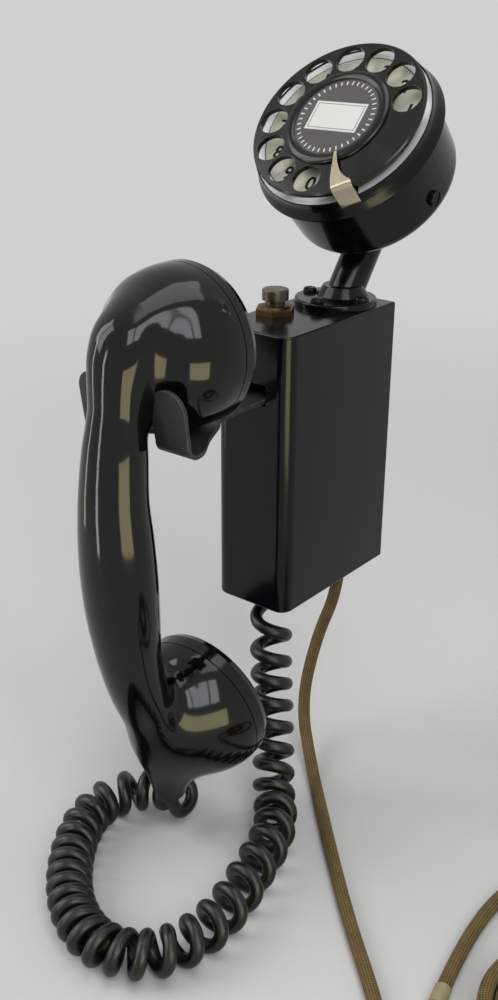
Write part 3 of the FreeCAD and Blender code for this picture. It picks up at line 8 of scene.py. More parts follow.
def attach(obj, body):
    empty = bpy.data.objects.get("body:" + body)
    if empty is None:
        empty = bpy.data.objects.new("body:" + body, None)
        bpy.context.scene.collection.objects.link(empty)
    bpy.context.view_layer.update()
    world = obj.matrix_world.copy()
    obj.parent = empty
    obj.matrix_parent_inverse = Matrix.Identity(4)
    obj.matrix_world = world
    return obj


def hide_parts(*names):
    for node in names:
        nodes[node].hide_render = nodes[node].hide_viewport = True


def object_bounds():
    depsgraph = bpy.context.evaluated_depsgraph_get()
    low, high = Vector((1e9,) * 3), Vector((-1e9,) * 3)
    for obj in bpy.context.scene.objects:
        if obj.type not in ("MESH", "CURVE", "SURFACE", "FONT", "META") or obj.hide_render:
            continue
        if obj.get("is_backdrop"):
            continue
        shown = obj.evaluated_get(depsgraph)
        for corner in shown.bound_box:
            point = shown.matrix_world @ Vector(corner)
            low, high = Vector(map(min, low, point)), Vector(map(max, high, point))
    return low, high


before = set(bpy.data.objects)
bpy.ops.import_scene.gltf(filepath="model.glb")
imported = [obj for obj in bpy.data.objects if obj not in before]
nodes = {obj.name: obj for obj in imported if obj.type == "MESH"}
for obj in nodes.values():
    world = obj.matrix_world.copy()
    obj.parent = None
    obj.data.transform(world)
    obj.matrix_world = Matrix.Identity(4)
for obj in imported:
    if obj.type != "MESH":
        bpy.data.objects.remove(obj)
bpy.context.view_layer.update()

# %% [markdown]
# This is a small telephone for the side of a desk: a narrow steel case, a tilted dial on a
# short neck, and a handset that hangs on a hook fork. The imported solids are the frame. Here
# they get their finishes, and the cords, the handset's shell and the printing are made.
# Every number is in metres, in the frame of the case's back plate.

MM = 0.001

# %% [markdown]
# The camera comes first. It stands about 0.5 m from the handset, a little above it and to
# the right, so the handset looks large beside the case. A close camera with a normal lens
# gives the strong perspective that such a close photograph has.

# %% Camera
AZIMUTH = math.radians(38.335)
ELEVATION = math.radians(24.997)
ROLL = math.radians(0.381)
back = Vector((math.sin(AZIMUTH) * math.cos(ELEVATION), -math.cos(AZIMUTH) * math.cos(ELEVATION),
               math.sin(ELEVATION)))
level = Vector((0, 0, 1)).cross(back).normalized()
upright = back.cross(level)
right = level * math.cos(ROLL) + upright * math.sin(ROLL)
above = upright * math.cos(ROLL) - level * math.sin(ROLL)
lens = bpy.data.cameras.new("camera")
lens.sensor_width = 36.0
lens.lens = 42.22
lens.shift_x = -0.0020
lens.shift_y = 0.0256
camera = bpy.data.objects.new("camera", lens)
bpy.context.scene.collection.objects.link(camera)
camera.matrix_world = Matrix(((right.x, above.x, back.x, 0.284939), (right.y, above.y, back.y, -0.437153),
                              (right.z, above.z, back.z, 0.189924), (0, 0, 0, 1)))
bpy.context.scene.camera = camera
print("camera at", [round(v, 3) for v in camera.location])

# %% [markdown]
# A cord is a line before it is a tube. Its line is a smooth NURBS curve with given
# control points, and Blender gives the points on it. A tube then carries one ring of
# vertices from point to point without twisting it, which keeps a braid straight. The map
# on the tube runs once round it and counts real lengths along it.

# %% Lines and tubes
def smooth_line(name, controls, detail):
    curve = bpy.data.curves.new(name, "CURVE")
    curve.dimensions = "3D"
    curve.resolution_u = detail
    spline = curve.splines.new("NURBS")
    spline.points.add(len(controls) - 1)
    for point, place in zip(spline.points, controls):
        point.co = (*place, 1.0)
    spline.order_u = 3
    spline.use_endpoint_u = True
    holder = bpy.data.objects.new(name, curve)
    mesh = bpy.data.meshes.new_from_object(holder)
    line = [v.co.copy() for v in mesh.vertices]
    bpy.data.objects.remove(holder)
    bpy.data.meshes.remove(mesh)
    return line


def evenly(line, step):
    travelled = [0.0]
    for a, b in zip(line, line[1:]):
        travelled.append(travelled[-1] + (b - a).length)
    count = max(2, round(travelled[-1] / step))
    points = []
    j = 0
    for i in range(count + 1):
        s = travelled[-1] * i / count
        while j < len(line) - 2 and travelled[j + 1] < s:
            j += 1
        share = (s - travelled[j]) / max(travelled[j + 1] - travelled[j], 1e-12)
        points.append(line[j].lerp(line[j + 1], share))
    return points, travelled[-1]


def link(name, mesh):
    piece = bpy.data.objects.new(name, mesh)
    bpy.context.scene.collection.objects.link(piece)
    return piece


def tube(name, line, radius, sides):
    count = len(line)
    headings = [(line[min(i + 1, count - 1)] - line[max(i - 1, 0)]).normalized() for i in range(count)]
    side = headings[0].orthogonal().normalized()
    vertices = []
    lengths = [0.0]
    for i in range(count):
        side = (side - headings[i] * side.dot(headings[i])).normalized()
        across = headings[i].cross(side)
        for k in range(sides):
            a = 2 * math.pi * k / sides
            vertices.append(line[i] + side * (radius * math.cos(a)) + across * (radius * math.sin(a)))
        if i:
            lengths.append(lengths[-1] + (line[i] - line[i - 1]).length)
    faces = []
    maps = []
    for i in range(count - 1):
        for k in range(sides):
            after = (k + 1) % sides
            faces.append((i * sides + k, i * sides + after, (i + 1) * sides + after, (i + 1) * sides + k))
            low, high = k / sides, (k + 1) / sides
            maps += [low, lengths[i], high, lengths[i], high, lengths[i + 1], low, lengths[i + 1]]
    faces.append(tuple(reversed(range(sides))))
    faces.append(tuple((count - 1) * sides + k for k in range(sides)))
    maps += [0.0] * (4 * sides)
    mesh = bpy.data.meshes.new(name)
    mesh.from_pydata(vertices, [], faces)
    layer = mesh.uv_layers.new(name="around_and_along")
    layer.uv.foreach_set("vector", maps)
    mesh.polygons.foreach_set("use_smooth", [True] * (len(faces) - 2) + [False] * 2)
    return link(name, mesh)


print("tubes ready")

# %% [markdown]
# The curly cord is a wire wound left-handed round a line. Its line leaves the grommet under
# the case, comes down, lies in a loop on the table and rises to the handset's tail. Near
# both ends the coils open out, as they do where a jacket has been pulled for years. They
# lie closest in the loop's far bend. The wire leaves each end straight before it winds.

# %% Curly cord
FLOOR = -0.157
WIRE = 0.0058
CURL = 0.00685
CURLS = 36
TIGHT_AT = 0.250
OPEN_AT = 0.150
SPAN = 0.045
LEAD_IN = 0.010
LIE = FLOOR + CURL + WIRE / 2 + 0.0003
curly_route = [
    (0.002, -0.064, -0.0575), (0.002, -0.064, -0.072), (0.006, -0.069, -0.092), (0.010, -0.073, -0.107),
    (0.014, -0.077, -0.122), (0.019, -0.083, -0.137), (0.027, -0.093, LIE), (0.037, -0.104, LIE),
    (0.044, -0.118, LIE), (0.049, -0.136, LIE), (0.055, -0.158, LIE), (0.056, -0.181, LIE),
    (0.047, -0.200, LIE), (0.028, -0.207, LIE), (0.008, -0.200, LIE), (-0.008, -0.187, LIE),
    (-0.021, -0.171, LIE), (-0.030, -0.154, LIE), (-0.031, -0.138, LIE), (-0.023, -0.126, LIE + 0.0015),
    (-0.00939, -0.12076, -0.14273), (0.00229, -0.12492, -0.13884)]
CORD_TOP = Vector((0, -0.13251, -0.13315))
TAIL = Vector((0, 0.19595, -0.98062))
START_SIDE = Vector((-0.62, 0.785, 0))
END_SIDE = Vector((-0.33501, -0.94221, 0))


def smooth(x):
    x = min(1.0, max(0.0, x))
    return x * x * (3 - 2 * x)


def curl_round(route):
    centres, total = evenly(smooth_line("curly_line", route, 24), 0.0003)
    count = len(centres) - 1
    sides = []
    acrosses = []
    side = Vector((1, 0, 0))
    for i in range(count + 1):
        heading = (centres[min(i + 1, count)] - centres[max(i - 1, 0)]).normalized()
        side = (side - heading * side.dot(heading)).normalized()
        sides.append(side.copy())
        acrosses.append(heading.cross(side))
    turned = [0.0]
    for i in range(count):
        s = total * (i + 0.5) / count - WIRE
        rate = 0.42 + 0.58 * smooth(s / 0.040) - 0.25 * smooth(1 - (total - WIRE - s) / 0.060)
        closer = 0.45 * math.exp(-((s - TIGHT_AT) / SPAN) ** 2)
        wider = 0.25 * math.exp(-((s - OPEN_AT) / SPAN) ** 2)
        rate *= 1 + closer - wider
        turned.append(turned[-1] + rate * smooth(s / LEAD_IN))
    first = math.atan2(START_SIDE.dot(acrosses[0]), START_SIDE.dot(sides[0]))
    last = math.atan2(END_SIDE.dot(acrosses[-1]), END_SIDE.dot(sides[-1]))
    whole = (first - last) % (2 * math.pi) + 2 * math.pi * (CURLS - 1)
    scale = whole / turned[-1]
    wire = []
    for i in range(0, count + 1):
        if whole - scale * turned[i] < math.pi / 2:
            break
        a = first - scale * turned[i]
        wire.append(centres[i] + sides[i] * (CURL * math.cos(a)) + acrosses[i] * (CURL * math.sin(a)))
    before = wire[-1]
    heading = (wire[-1] - wire[-3]).normalized()
    reach = before + heading * 0.0062
    under = CORD_TOP + TAIL * 0.0105
    for i in range(1, 33):
        t = i / 32
        wire.append(before * (1 - t) ** 3 + reach * (3 * t * (1 - t) ** 2) + under * (3 * t * t * (1 - t))
                    + CORD_TOP * t ** 3)
    return wire


curly_path, wire_length = evenly(curl_round(curly_route), 0.0016)
curly_cord = tube("curly_cord_wire", curly_path, WIRE / 2, 16)
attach(curly_cord, "case")
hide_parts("curly_cord")
print("curly cord", round(wire_length, 3), "m of wire in", CURLS, "curls")

# %% [markdown]
# The line cord is cotton braid over rubber wires. It hangs from its grommet, lies across the
# table and runs out of the picture, where the rest of it is put away in a neat coil of two
# layers with its end beside it. All of it is one spline: the lead's points, twelve or more
# for each turn of the coil, and the tail's points. A coil's control points stand a little
# outside its circle, because the spline runs inside them.

# %% Line cord
LINE_CORD = 0.0058
COIL_CENTRE = Vector((0.190, -0.122, 0))
COIL_OUTER = 0.039
COIL_PITCH = 0.00635
COIL_SWEEP = 2 * 2.625 * 360.0
COIL_START = 300.0
TIE = 0.0012
LAYER = LINE_CORD + 0.00055
BASE = FLOOR + TIE + LINE_CORD / 2


def coil_point(swept, outward=1.0):
    half = COIL_SWEEP / 2
    away = abs(swept - half)
    if away < 60.0:
        away = 30.0 + away * away / 120.0
    radius = (COIL_OUTER - COIL_PITCH * (half - away) / 360.0) * outward
    a = math.radians(COIL_START + swept)
    height = BASE + LAYER * smooth((swept - half + 90.0) / 180.0)
    return COIL_CENTRE + Vector((radius * math.cos(a), radius * math.sin(a), height))


def coil_heading(swept):
    a = math.radians(COIL_START + swept)
    return Vector((-math.sin(a), math.cos(a), 0))


DOWN = FLOOR + LINE_CORD / 2
coil_in = coil_point(0)
coil_out = coil_point(COIL_SWEEP)
line_route = [Vector(p) for p in (
    (0.005, -0.014, -0.059), (0.005, -0.014, -0.079), (-0.003, -0.020, -0.107),
    (-0.002, -0.033, FLOOR + 0.018), (0.020, -0.054, DOWN), (0.040, -0.075, DOWN), (0.067, -0.103, DOWN),
    (0.094, -0.130, DOWN), (0.123, -0.156, DOWN), (0.147, -0.182, BASE))]
line_route.append(coil_in - coil_heading(0) * 0.034)
turn_points = 16
steps = round(COIL_SWEEP / 360.0 * turn_points)
for i in range(1, steps):
    line_route.append(coil_point(COIL_SWEEP * i / steps, 1 / math.cos(math.pi / turn_points)))
line_route.append(coil_out + coil_heading(COIL_SWEEP) * 0.036)
line_route += [Vector(p) for p in (
    (0.170, -0.038, FLOOR + 0.006), (0.137, -0.054, DOWN), (0.1315, -0.100, DOWN), (0.142, -0.144, DOWN))]
line_path, line_length = evenly(smooth_line("line_cord_line", line_route, 12), 0.002)
line_cord = tube("line_cord_braid", line_path, LINE_CORD / 2, 20)
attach(line_cord, "case")
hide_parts("line_cord", "line_cord_coil", "line_cord_tail")
print("line cord", round(line_length, 3), "m")

# %% [markdown]
# The handset is one moulding: two cups and a handle that flow into each other with no crease.
# Each of the three is a simple form whose distance can be worked out: an oval that slides
# along a bent line, and two domes. A soft minimum of the three distances melts them together,
# as a pattern maker does with wax. Sizes here are millimetres, as on the maker's drawing.

# %% Handset's three forms
CASE_FRONT = -77.6
FORK_REST = 34.4
MELT = 11.0
CUPS = [{"rim": (CASE_FRONT - 41.2, 65.7), "tilt": 0.0, "radius": 31.0, "depth": 29.5, "power": 2.4},
        {"rim": (CASE_FRONT - 34.9, FORK_REST - 131.1), "tilt": 12.3, "radius": 32.0, "depth": 34.1,
         "power": 1.74}]
# out from the case's front, up from the fork's rest, half width, half depth
HANDLE = [(60.0, 47.5, 9.0, 4.0), (67.5, 46.0, 10.6, 6.2), (72.6, 41.2, 11.9, 9.2),
          (74.9, 34.0, 12.1, 10.7), (75.8, 27.0, 11.6, 10.9), (76.3, 20.5, 11.2, 10.8),
          (76.8, 15.0, 11.0, 10.6), (77.9, 8.0, 11.6, 11.0), (79.3, -2.2, 12.8, 11.8),
          (80.9, -18.8, 13.9, 12.5), (80.6, -35.2, 15.2, 13.6),
          (79.8, -52.4, 15.6, 14.1), (78.5, -70.4, 15.0, 13.5), (76.2, -89.0, 13.4, 12.2),
          (72.0, -105.0, 12.6, 11.5), (66.2, -120.0, 11.6, 10.8), (59.6, -136.5, 10.4, 9.8),
          (56.9, -150.0, 8.9, 8.5), (55.4, -165.1, 7.2, 7.0), (54.2, -171.0, 6.8, 6.8)]
TAIL_HEADING = np.array([0.196, -0.981])
TAIL_END = np.array([CASE_FRONT - 55.4, FORK_REST - 165.1]) + 1.0 * TAIL_HEADING
HANDLE_TOP_ROUND = 5


def through(values, per_span):
    values = np.array(values)
    ends = np.vstack([2 * values[0] - values[1], values, 2 * values[-1] - values[-2]])
    rows = []
    for i in range(len(values) - 1):
        a, b, c, d = ends[i:i + 4]
        for t in np.arange(per_span) / per_span:
            rows.append(0.5 * (2 * b + (c - a) * t + (2 * a - 5 * b + 4 * c - d) * t ** 2
                               + (3 * b - a - 3 * c + d) * t ** 3))
    return np.array(rows + [values[-1]])


spine = through([(CASE_FRONT - out, FORK_REST + up, wide, deep) for out, up, wide, deep in HANDLE], 36)
travel = np.concatenate([[0], np.cumsum(np.linalg.norm(np.diff(spine[:, :2], axis=0), axis=1))])
slopes = np.gradient(spine, travel, axis=0)
headings = slopes[:, :2] / np.linalg.norm(slopes[:, :2], axis=1)[:, None]


def nearest(yz):
    found = []
    for part in np.array_split(yz, len(yz) // 2000 + 1):
        gaps = part[:, None] - spine[None, :, :2]
        found.append(np.argmin((gaps ** 2).sum(2), 1))
    return np.concatenate(found)


def handle_distance(x, yz, index):
    away = yz - spine[index, :2]
    along = (away * headings[index]).sum(1)
    across = away[:, 0] * headings[index, 1] - away[:, 1] * headings[index, 0]
    wide = spine[index, 2] + along * slopes[index, 2]
    deep = spine[index, 3] + along * slopes[index, 3]
    beyond = np.where(index == 0, np.maximum(-along, 0), 0)
    u = np.sqrt((x / wide) ** 2 + (across / deep) ** 2 + (beyond / HANDLE_TOP_ROUND) ** 2)
    steep = np.sqrt((x / wide ** 2) ** 2 + (across / deep ** 2) ** 2
                    + (beyond / HANDLE_TOP_ROUND ** 2) ** 2)
    return (u - 1) / np.maximum(steep / np.maximum(u, 1e-6), 1e-3)


def cup_ahead(yz, cup):
    facing = np.array([math.cos(math.radians(cup["tilt"])), math.sin(math.radians(cup["tilt"]))])
    away = yz - np.array(cup["rim"])
    return -(away @ facing), away[:, 0] * facing[1] - away[:, 1] * facing[0]


def cup_distance(x, yz, cup):
    ahead, aside = cup_ahead(yz, cup)
    r = np.sqrt(x ** 2 + aside ** 2) / cup["radius"]
    t = np.maximum(ahead, 0) / cup["depth"]
    p = cup["power"]
    g = np.maximum(r ** p + t ** p, 1e-9)
    rise = g ** (1 / p - 1)
    steep = np.hypot(rise * r ** (p - 1) / cup["radius"], rise * t ** (p - 1) / cup["depth"])
    return (g ** (1 / p) - 1) / np.maximum(steep, 1e-3), ahead


def handset_distance(x, yz, index):
    total = handle_distance(x, yz, index)
    for cup in CUPS:
        other, ahead = cup_distance(x, yz, cup)
        melt = MELT * np.clip(ahead / 12.0, 0.01, 1)
        h = np.maximum(melt - np.abs(total - other), 0) / melt
        total = np.minimum(total, other) - h * h * melt / 4
    return total


print("handle's line", round(travel[-1], 1), "mm long")

# %% [markdown]
# A grid of 1.3 mm cells covers the handset. Every cell that the surface passes gets one
# vertex, and every grid edge that it crosses gets one face. The vertices then relax a little
# and slide along the steepest way until the distance there is zero, so the gloss runs clean.

# %% Handset's surface
CELL = 1.3
SEAM = 0.45


def net(values, low):
    shape = np.array(values.shape) - 1
    inside = values < 0
    corners = [np.array([i, j, k]) for i in (0, 1) for j in (0, 1) for k in (0, 1)]

    def at(grid, corner):
        i, j, k = corner
        return grid[i:i + shape[0], j:j + shape[1], k:k + shape[2]]

    count = sum(at(inside, c).astype(int) for c in corners)
    active = np.argwhere((count > 0) & (count < 8))
    number = np.full(shape, -1)
    number[tuple(active.T)] = np.arange(len(active))
    total = np.zeros((len(active), 3))
    hits = np.zeros(len(active))
    for c in corners:
        for axis in range(3):
            if c[axis]:
                continue
            d = c + np.eye(3, dtype=int)[axis]
            a = values[tuple((active + c).T)]
            b = values[tuple((active + d).T)]
            crossed = (a < 0) != (b < 0)
            share = np.where(crossed, a / np.where(a == b, 1, a - b), 0)
            total += crossed[:, None] * (active + c + share[:, None] * (d - c))
            hits += crossed
    points = low + CELL * total / hits[:, None]
    quads = []
    for axis in range(3):
        u, v = [e for e in range(3) if e != axis]
        step = np.eye(3, dtype=int)
        ahead = np.roll(inside, -1, axis)
        edge = np.argwhere(inside != ahead)
        fits = (edge[:, axis] < shape[axis]) & (edge[:, u] > 0) & (edge[:, v] > 0)
        fits &= (edge[:, u] < shape[u]) & (edge[:, v] < shape[v])
        edge = edge[fits]
        ring = [edge - step[u] - step[v], edge - step[v], edge, edge - step[u]]
        quad = np.stack([number[tuple(cell.T)] for cell in ring], 1)
        turn = inside[tuple(edge.T)] == (axis == 1)
        quad[turn] = quad[turn][:, ::-1]
        quads.append(quad)
    return points, np.vstack(quads)


def settle(points, quads):
    pairs = np.vstack([quads[:, [i, (i + 1) % 4]] for i in range(4)])
    one, other = pairs.T
    count = len(points)
    links = np.bincount(one, minlength=count) + np.bincount(other, minlength=count)
    for turn in range(7):
        if turn < 4:
            sums = np.stack([np.bincount(one, points[other, k], count)
                             + np.bincount(other, points[one, k], count) for k in range(3)], 1)
            points = 0.5 * points + 0.5 * sums / links[:, None]
        index = nearest(points[:, 1:])
        here = handset_distance(points[:, 0], points[:, 1:], index)
        slope = np.zeros_like(points)
        for k in range(3):
            moved = points.copy()
            moved[:, k] += 0.02
            slope[:, k] = (handset_distance(moved[:, 0], moved[:, 1:], index) - here) / 0.02
        points = points - slope * np.clip(here / (slope ** 2).sum(1), -1, 1)[:, None]
    return points


low = np.array([-35.1, -175.0, -137.0])
high = np.array([35.1, -100.0, 101.0])
axes = [np.arange(a, b, CELL) for a, b in zip(low, high)]
flat = np.array([(y, z) for y in axes[1] for z in axes[2]])
flat_index = nearest(flat)
grid = np.stack([handset_distance(np.full(len(flat), x), flat, flat_index) for x in axes[0]])
points, quads = net(grid.reshape([len(a) for a in axes]), low)
points = settle(points, quads)
for cup in CUPS:
    ahead, aside = cup_ahead(points[:, 1:], cup)
    near = (np.abs(ahead - SEAM) < 0.6 * CELL) & (np.hypot(points[:, 0], aside) < cup["radius"] + 1)
    tilt = math.radians(cup["tilt"])
    points[near, 1:] += (ahead[near, None] - SEAM) * np.array([math.cos(tilt), math.sin(tilt)])
print(len(points), "points on the handset's surface")

# %% [markdown]
# The mesh is cut square at both cups' rims, where the caps screw on, and at the tail. The cut
# stays 0.45 mm short of the cap and its edge is bevelled, which makes the fine dark line that
# shows where a cap meets its cup.

# %% Handset's shell
mesh = bpy.data.meshes.new("handset_shell")
mesh.from_pydata((points * MM).tolist(), [], quads.tolist())
work = bmesh.new()
work.from_mesh(mesh)
cuts = [(TAIL_END, TAIL_HEADING, 0)]
for cup, side in zip(CUPS, (1, -1)):
    facing = np.array([math.cos(math.radians(cup["tilt"])), math.sin(math.radians(cup["tilt"]))])
    cuts.append((np.array(cup["rim"]) - SEAM * facing, facing, side))
for (y, z), (ny, nz), side in cuts:
    if side:
        reach = [v for v in work.verts if side * v.co.z > 0.02]
    else:
        reach = [v for v in work.verts if v.co.z < -0.120 and v.co.y < -0.120]
    faces = {f for v in reach for f in v.link_faces}
    edges = {e for f in faces for e in f.edges}
    verts = {v for f in faces for v in f.verts}
    bmesh.ops.bisect_plane(work, geom=list(verts) + list(edges) + list(faces), dist=1e-6,
                           plane_co=(0, y * MM, z * MM), plane_no=(0, ny, nz), clear_outer=True)
bmesh.ops.holes_fill(work, edges=[e for e in work.edges if e.is_boundary])
bmesh.ops.recalc_face_normals(work, faces=work.faces)
work.to_mesh(mesh)
work.free()
mesh.polygons.foreach_set("use_smooth", [True] * len(mesh.polygons))
handset_shell = link("handset_shell", mesh)
rim = handset_shell.modifiers.new("rims", "BEVEL")
rim.width = 0.0004
rim.segments = 2
rim.limit_method = "ANGLE"
rim.angle_limit = math.radians(55)
rim.harden_normals = True
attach(handset_shell, "handset")
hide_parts("handset_body")
print("handset shell", len(mesh.polygons), "faces")

# %% [markdown]
# Materials next. Two small tools do for all of them: one turns a written sRGB colour to the
# linear values that the shader needs, and one adds a node with its settings and links.

# %% Colour and node tools
def colour(text):
    values = [int(text[i:i + 2], 16) / 255 for i in (1, 3, 5)]
    return [v / 12.92 if v <= 0.04045 else ((v + 0.055) / 1.055) ** 2.4 for v in values] + [1.0]


def add(tree, kind, inputs=(), **settings):
    node = tree.nodes.new("ShaderNode" + kind)
    for name, value in settings.items():
        setattr(node, name, value)
    for key, value in dict(inputs).items():
        if isinstance(value, bpy.types.NodeSocket):
            tree.links.new(value, node.inputs[key])
        else:
            node.inputs[key].default_value = value
    return node


def finish(name, dark, light, patch_mm, polish, grain_mm=0.5, grain_depth_mm=0.0, edge_mm=0.0, worn=None,
           **sockets):
    """A surface that drifts between two near tones in patches, with its roughness between polish's
    two values, and with a fine grain raised by grain_depth_mm. Its edges look rounded by edge_mm, and
    the worn tone shows through on them. Sockets are fixed shader values."""
    material = bpy.data.materials.new(name)
    material.use_nodes = True
    tree = material.node_tree
    shader = tree.nodes["Principled BSDF"]
    for key, value in sockets.items():
        shader.inputs[key.replace("_", " ")].default_value = value
    place = add(tree, "TexCoord").outputs["Object"]
    patches = add(tree, "TexNoise", {"Vector": place, "Scale": 1000 / patch_mm, "Detail": 5.0,
                                     "Roughness": 0.6}).outputs["Fac"]
    tone = add(tree, "Mix", {"Factor": patches, 6: colour(dark), 7: colour(light)}, data_type="RGBA")
    base = tone.outputs[2]
    if edge_mm:
        rounded = add(tree, "Bevel", {"Radius": edge_mm * MM}, samples=6).outputs["Normal"]
        tree.links.new(rounded, shader.inputs["Normal"])
    if worn:
        flat = add(tree, "NewGeometry").outputs["Normal"]
        agree = add(tree, "VectorMath", {0: rounded, 1: flat}, operation="DOT_PRODUCT").outputs["Value"]
        edge = add(tree, "MapRange", {"Value": agree, "From Min": 0.97, "From Max": 0.80}).outputs[0]
        rub = add(tree, "MapRange", {"Value": patches, "From Min": 0.40, "From Max": 0.62}).outputs[0]
        amount = add(tree, "Math", {0: edge, 1: rub}, operation="MULTIPLY").outputs[0]
        base = add(tree, "Mix", {"Factor": amount, 6: base, 7: colour(worn)}, data_type="RGBA").outputs[2]
    tree.links.new(base, shader.inputs["Base Color"])
    rough = add(tree, "MapRange", {"Value": patches, "From Min": 0.35, "From Max": 0.65,
                                   "To Min": polish[0], "To Max": polish[1]})
    tree.links.new(rough.outputs["Result"], shader.inputs["Roughness"])
    if grain_depth_mm:
        grain = add(tree, "TexNoise", {"Vector": place, "Scale": 1000 / grain_mm, "Detail": 3.0})
        bump = add(tree, "Bump", {"Height": grain.outputs["Fac"], "Distance": grain_depth_mm * MM,
                                  "Strength": 1.0})
        if edge_mm:
            tree.links.new(rounded, bump.inputs["Normal"])
        tree.links.new(bump.outputs["Normal"], shader.inputs["Normal"])
    return material


print("tools ready")

# %% [markdown]
# The metalwork of such a telephone is pressed steel under black stove enamel. The enamel
# is sprayed and baked: nearly black, glossy, and slightly rippled like the skin of an
# orange, with ripples about 2 mm across and a few thousandths of a millimetre high. It is
# thin at corners, so these look rounded and a little paler.

# %% Enamels and lacquers
stove_enamel = finish("stove_enamel_baked_black", "#070709", "#0c0c10", 22, (0.13, 0.20), 2.2, 0.004, 0.35,
                      "#2c2c2a", IOR=1.5, Specular_IOR_Level=0.25)
wheel_lacquer = finish("lacquer_satin_black", "#080808", "#0e0e0d", 9, (0.13, 0.22), 0.8, 0.003, 0.25,
                       "#3a3a36", IOR=1.5, Specular_IOR_Level=0.36)
fork_paint = finish("grey_enamel_worn", "#22241f", "#30332b", 5, (0.45, 0.6), 0.7, 0.02, 0.6, "#8a8a7c",
                    IOR=1.5, Specular_IOR_Level=0.4)
print("enamels ready")

# %% [markdown]
# The handset is moulded from black phenolic resin and buffed. It is deep black with a hard,
# clear shine, a little duller where hands have rubbed it.

# %% Mouldings
phenolic_black = finish("phenolic_moulded_black", "#050505", "#0b0a09", 30, (0.07, 0.13), IOR=1.6,
                        Specular_IOR_Level=0.27)
phenolic_brown = finish("phenolic_moulded_brown", "#2e211b", "#463529", 3, (0.28, 0.4), 0.6, 0.008, 0.2,
                        "#5e5148", IOR=1.6)
red_fibre = finish("vulcanised_fibre_red", "#5c2a1d", "#743a28", 3, (0.5, 0.7), IOR=1.5)
soft_rubber = finish("rubber_moulded_black", "#0d0d0d", "#171716", 4, (0.55, 0.7), 0.3, 0.01, 0.2, IOR=1.52)
cord_jacket = finish("rubber_jacket_black", "#070707", "#11110f", 7, (0.30, 0.44), 0.5, 0.008, IOR=1.52,
                     Specular_IOR_Level=0.4)
print("mouldings ready")

# %% [markdown]
# Bare metals keep the default IOR, because metallic shading does not use it. The brass nut
# is old and brown. The nickel on the finger stop is bright, a little warm, and paler where
# its edges are rubbed.

# %% Metals
nickel = finish("nickel_plate_on_brass", "#b3a88c", "#cfc7b2", 14, (0.12, 0.20), 0.4, 0.002, 0.25,
                "#f0e7cd", Metallic=1.0)
old_brass = finish("brass_turned_tarnished", "#3d3220", "#66553a", 2.5, (0.32, 0.5), 0.4, 0.006, 0.25,
                   "#a8905c", Metallic=1.0)
bright_brass = finish("brass_turned", "#a88a4e", "#c4a562", 5, (0.25, 0.38), Metallic=1.0)
bronze_leaf = finish("phosphor_bronze_rolled", "#9c6b40", "#b98654", 5, (0.25, 0.4), Metallic=1.0)
zinc_plate = finish("zinc_plate_on_steel", "#8b8d8c", "#a9abaa", 7, (0.35, 0.5), 1.0, 0.006, Metallic=1.0)
black_steel = finish("steel_screw_blackened", "#0f0f10", "#1d1c1b", 2, (0.3, 0.45), 0.4, 0.008, 0.15,
                     "#5a5854", Metallic=0.5)
print("metals ready")

# %% [markdown]
# The window over the card is a thin clear disc of celluloid. Its Transmission Weight is 1, so
# light goes through it and only its gloss shows.

# %% Window
celluloid = finish("celluloid_clear", "#fdfdfb", "#ffffff", 20, (0.02, 0.05), IOR=1.5,
                   Transmission_Weight=1.0)
print("window ready")

# %% [markdown]
# Each carried-over solid now gets its finish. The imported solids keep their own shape.

# %% Dress the solids
finishes = {
    stove_enamel: ["case_cover", "dial_arm", "dial_cup", "bezel_ring"],
    wheel_lacquer: ["finger_wheel", "wheel_screw"],
    fork_paint: ["cradle_fork"],
    phenolic_black: ["receiver_cap", "transmitter_cap", "terminal_block"],
    phenolic_brown: ["button_plunger"],
    red_fibre: ["switch_insulators", "button_block", "impulse_block", "hook_roller"],
    soft_rubber: ["curly_cord_grommet", "line_cord_grommet", "handset_bushing"],
    nickel: ["finger_stop_screws"],
    old_brass: ["button_nut", "button_bushing"],
    bright_brass: ["terminal_screws", "arm_ring_nut", "dial_pillars", "governor_drum", "main_shaft",
                   "pinion", "governor"],
    bronze_leaf: ["switch_springs", "button_contacts", "impulse_springs"],
    zinc_plate: ["back_plate", "hook_bracket", "bracket_rivets", "hook_spring", "button_spring",
                 "flange_nuts", "dial_chassis", "dial_rear_plate", "dial_main_spring", "receiver_unit",
                 "transmitter_unit"],
    black_steel: ["cover_screws", "hook_pivot_pin", "switch_screws", "flange_screws", "cup_clamp_screw",
                  "chassis_screws", "roller_pin"],
    celluloid: ["card_window"],
}


def dress(piece, material):
    if not piece.material_slots:
        piece.data.materials.append(material)
    for slot in piece.material_slots:
        slot.material = material


for material, names in finishes.items():
    for name in names:
        dress(nodes[name], material)
print(sum(len(names) for names in finishes.values()), "nodes dressed")

# %% [markdown]
# The dial has a frame of its own: its face lies on a plane that leans back 46 degrees.
# Printing is laid out flat in that frame and then stood up with it. Drawn marks need the
# distance of a point from their line, and a step 0.2 mm wide makes a clean edge of it.

# %% Dial frame
DIAL_PLACE = (0, -0.0225, 0.1391)
DIAL_LEAN = math.radians(46.1)
DIAL = Matrix.Translation(DIAL_PLACE) @ Matrix.Rotation(DIAL_LEAN, 4, "X")
FIRST_HOLE = 22.5
HOLE_STEP = 27.6
HOLE_CIRCLE = 0.030
CARD = 0.0195
PLATE_FACE = -0.0055


def under(tree, distance, limit_mm, soft_mm=0.2):
    return add(tree, "MapRange", {"Value": distance, "From Min": (limit_mm - soft_mm / 2) * MM,
                                  "From Max": (limit_mm + soft_mm / 2) * MM,
                                  "To Min": 1.0, "To Max": 0.0}).outputs[0]


def math_of(tree, operation, a, b=0.0):
    return add(tree, "Math", {0: a, 1: b}, operation=operation).outputs[0]


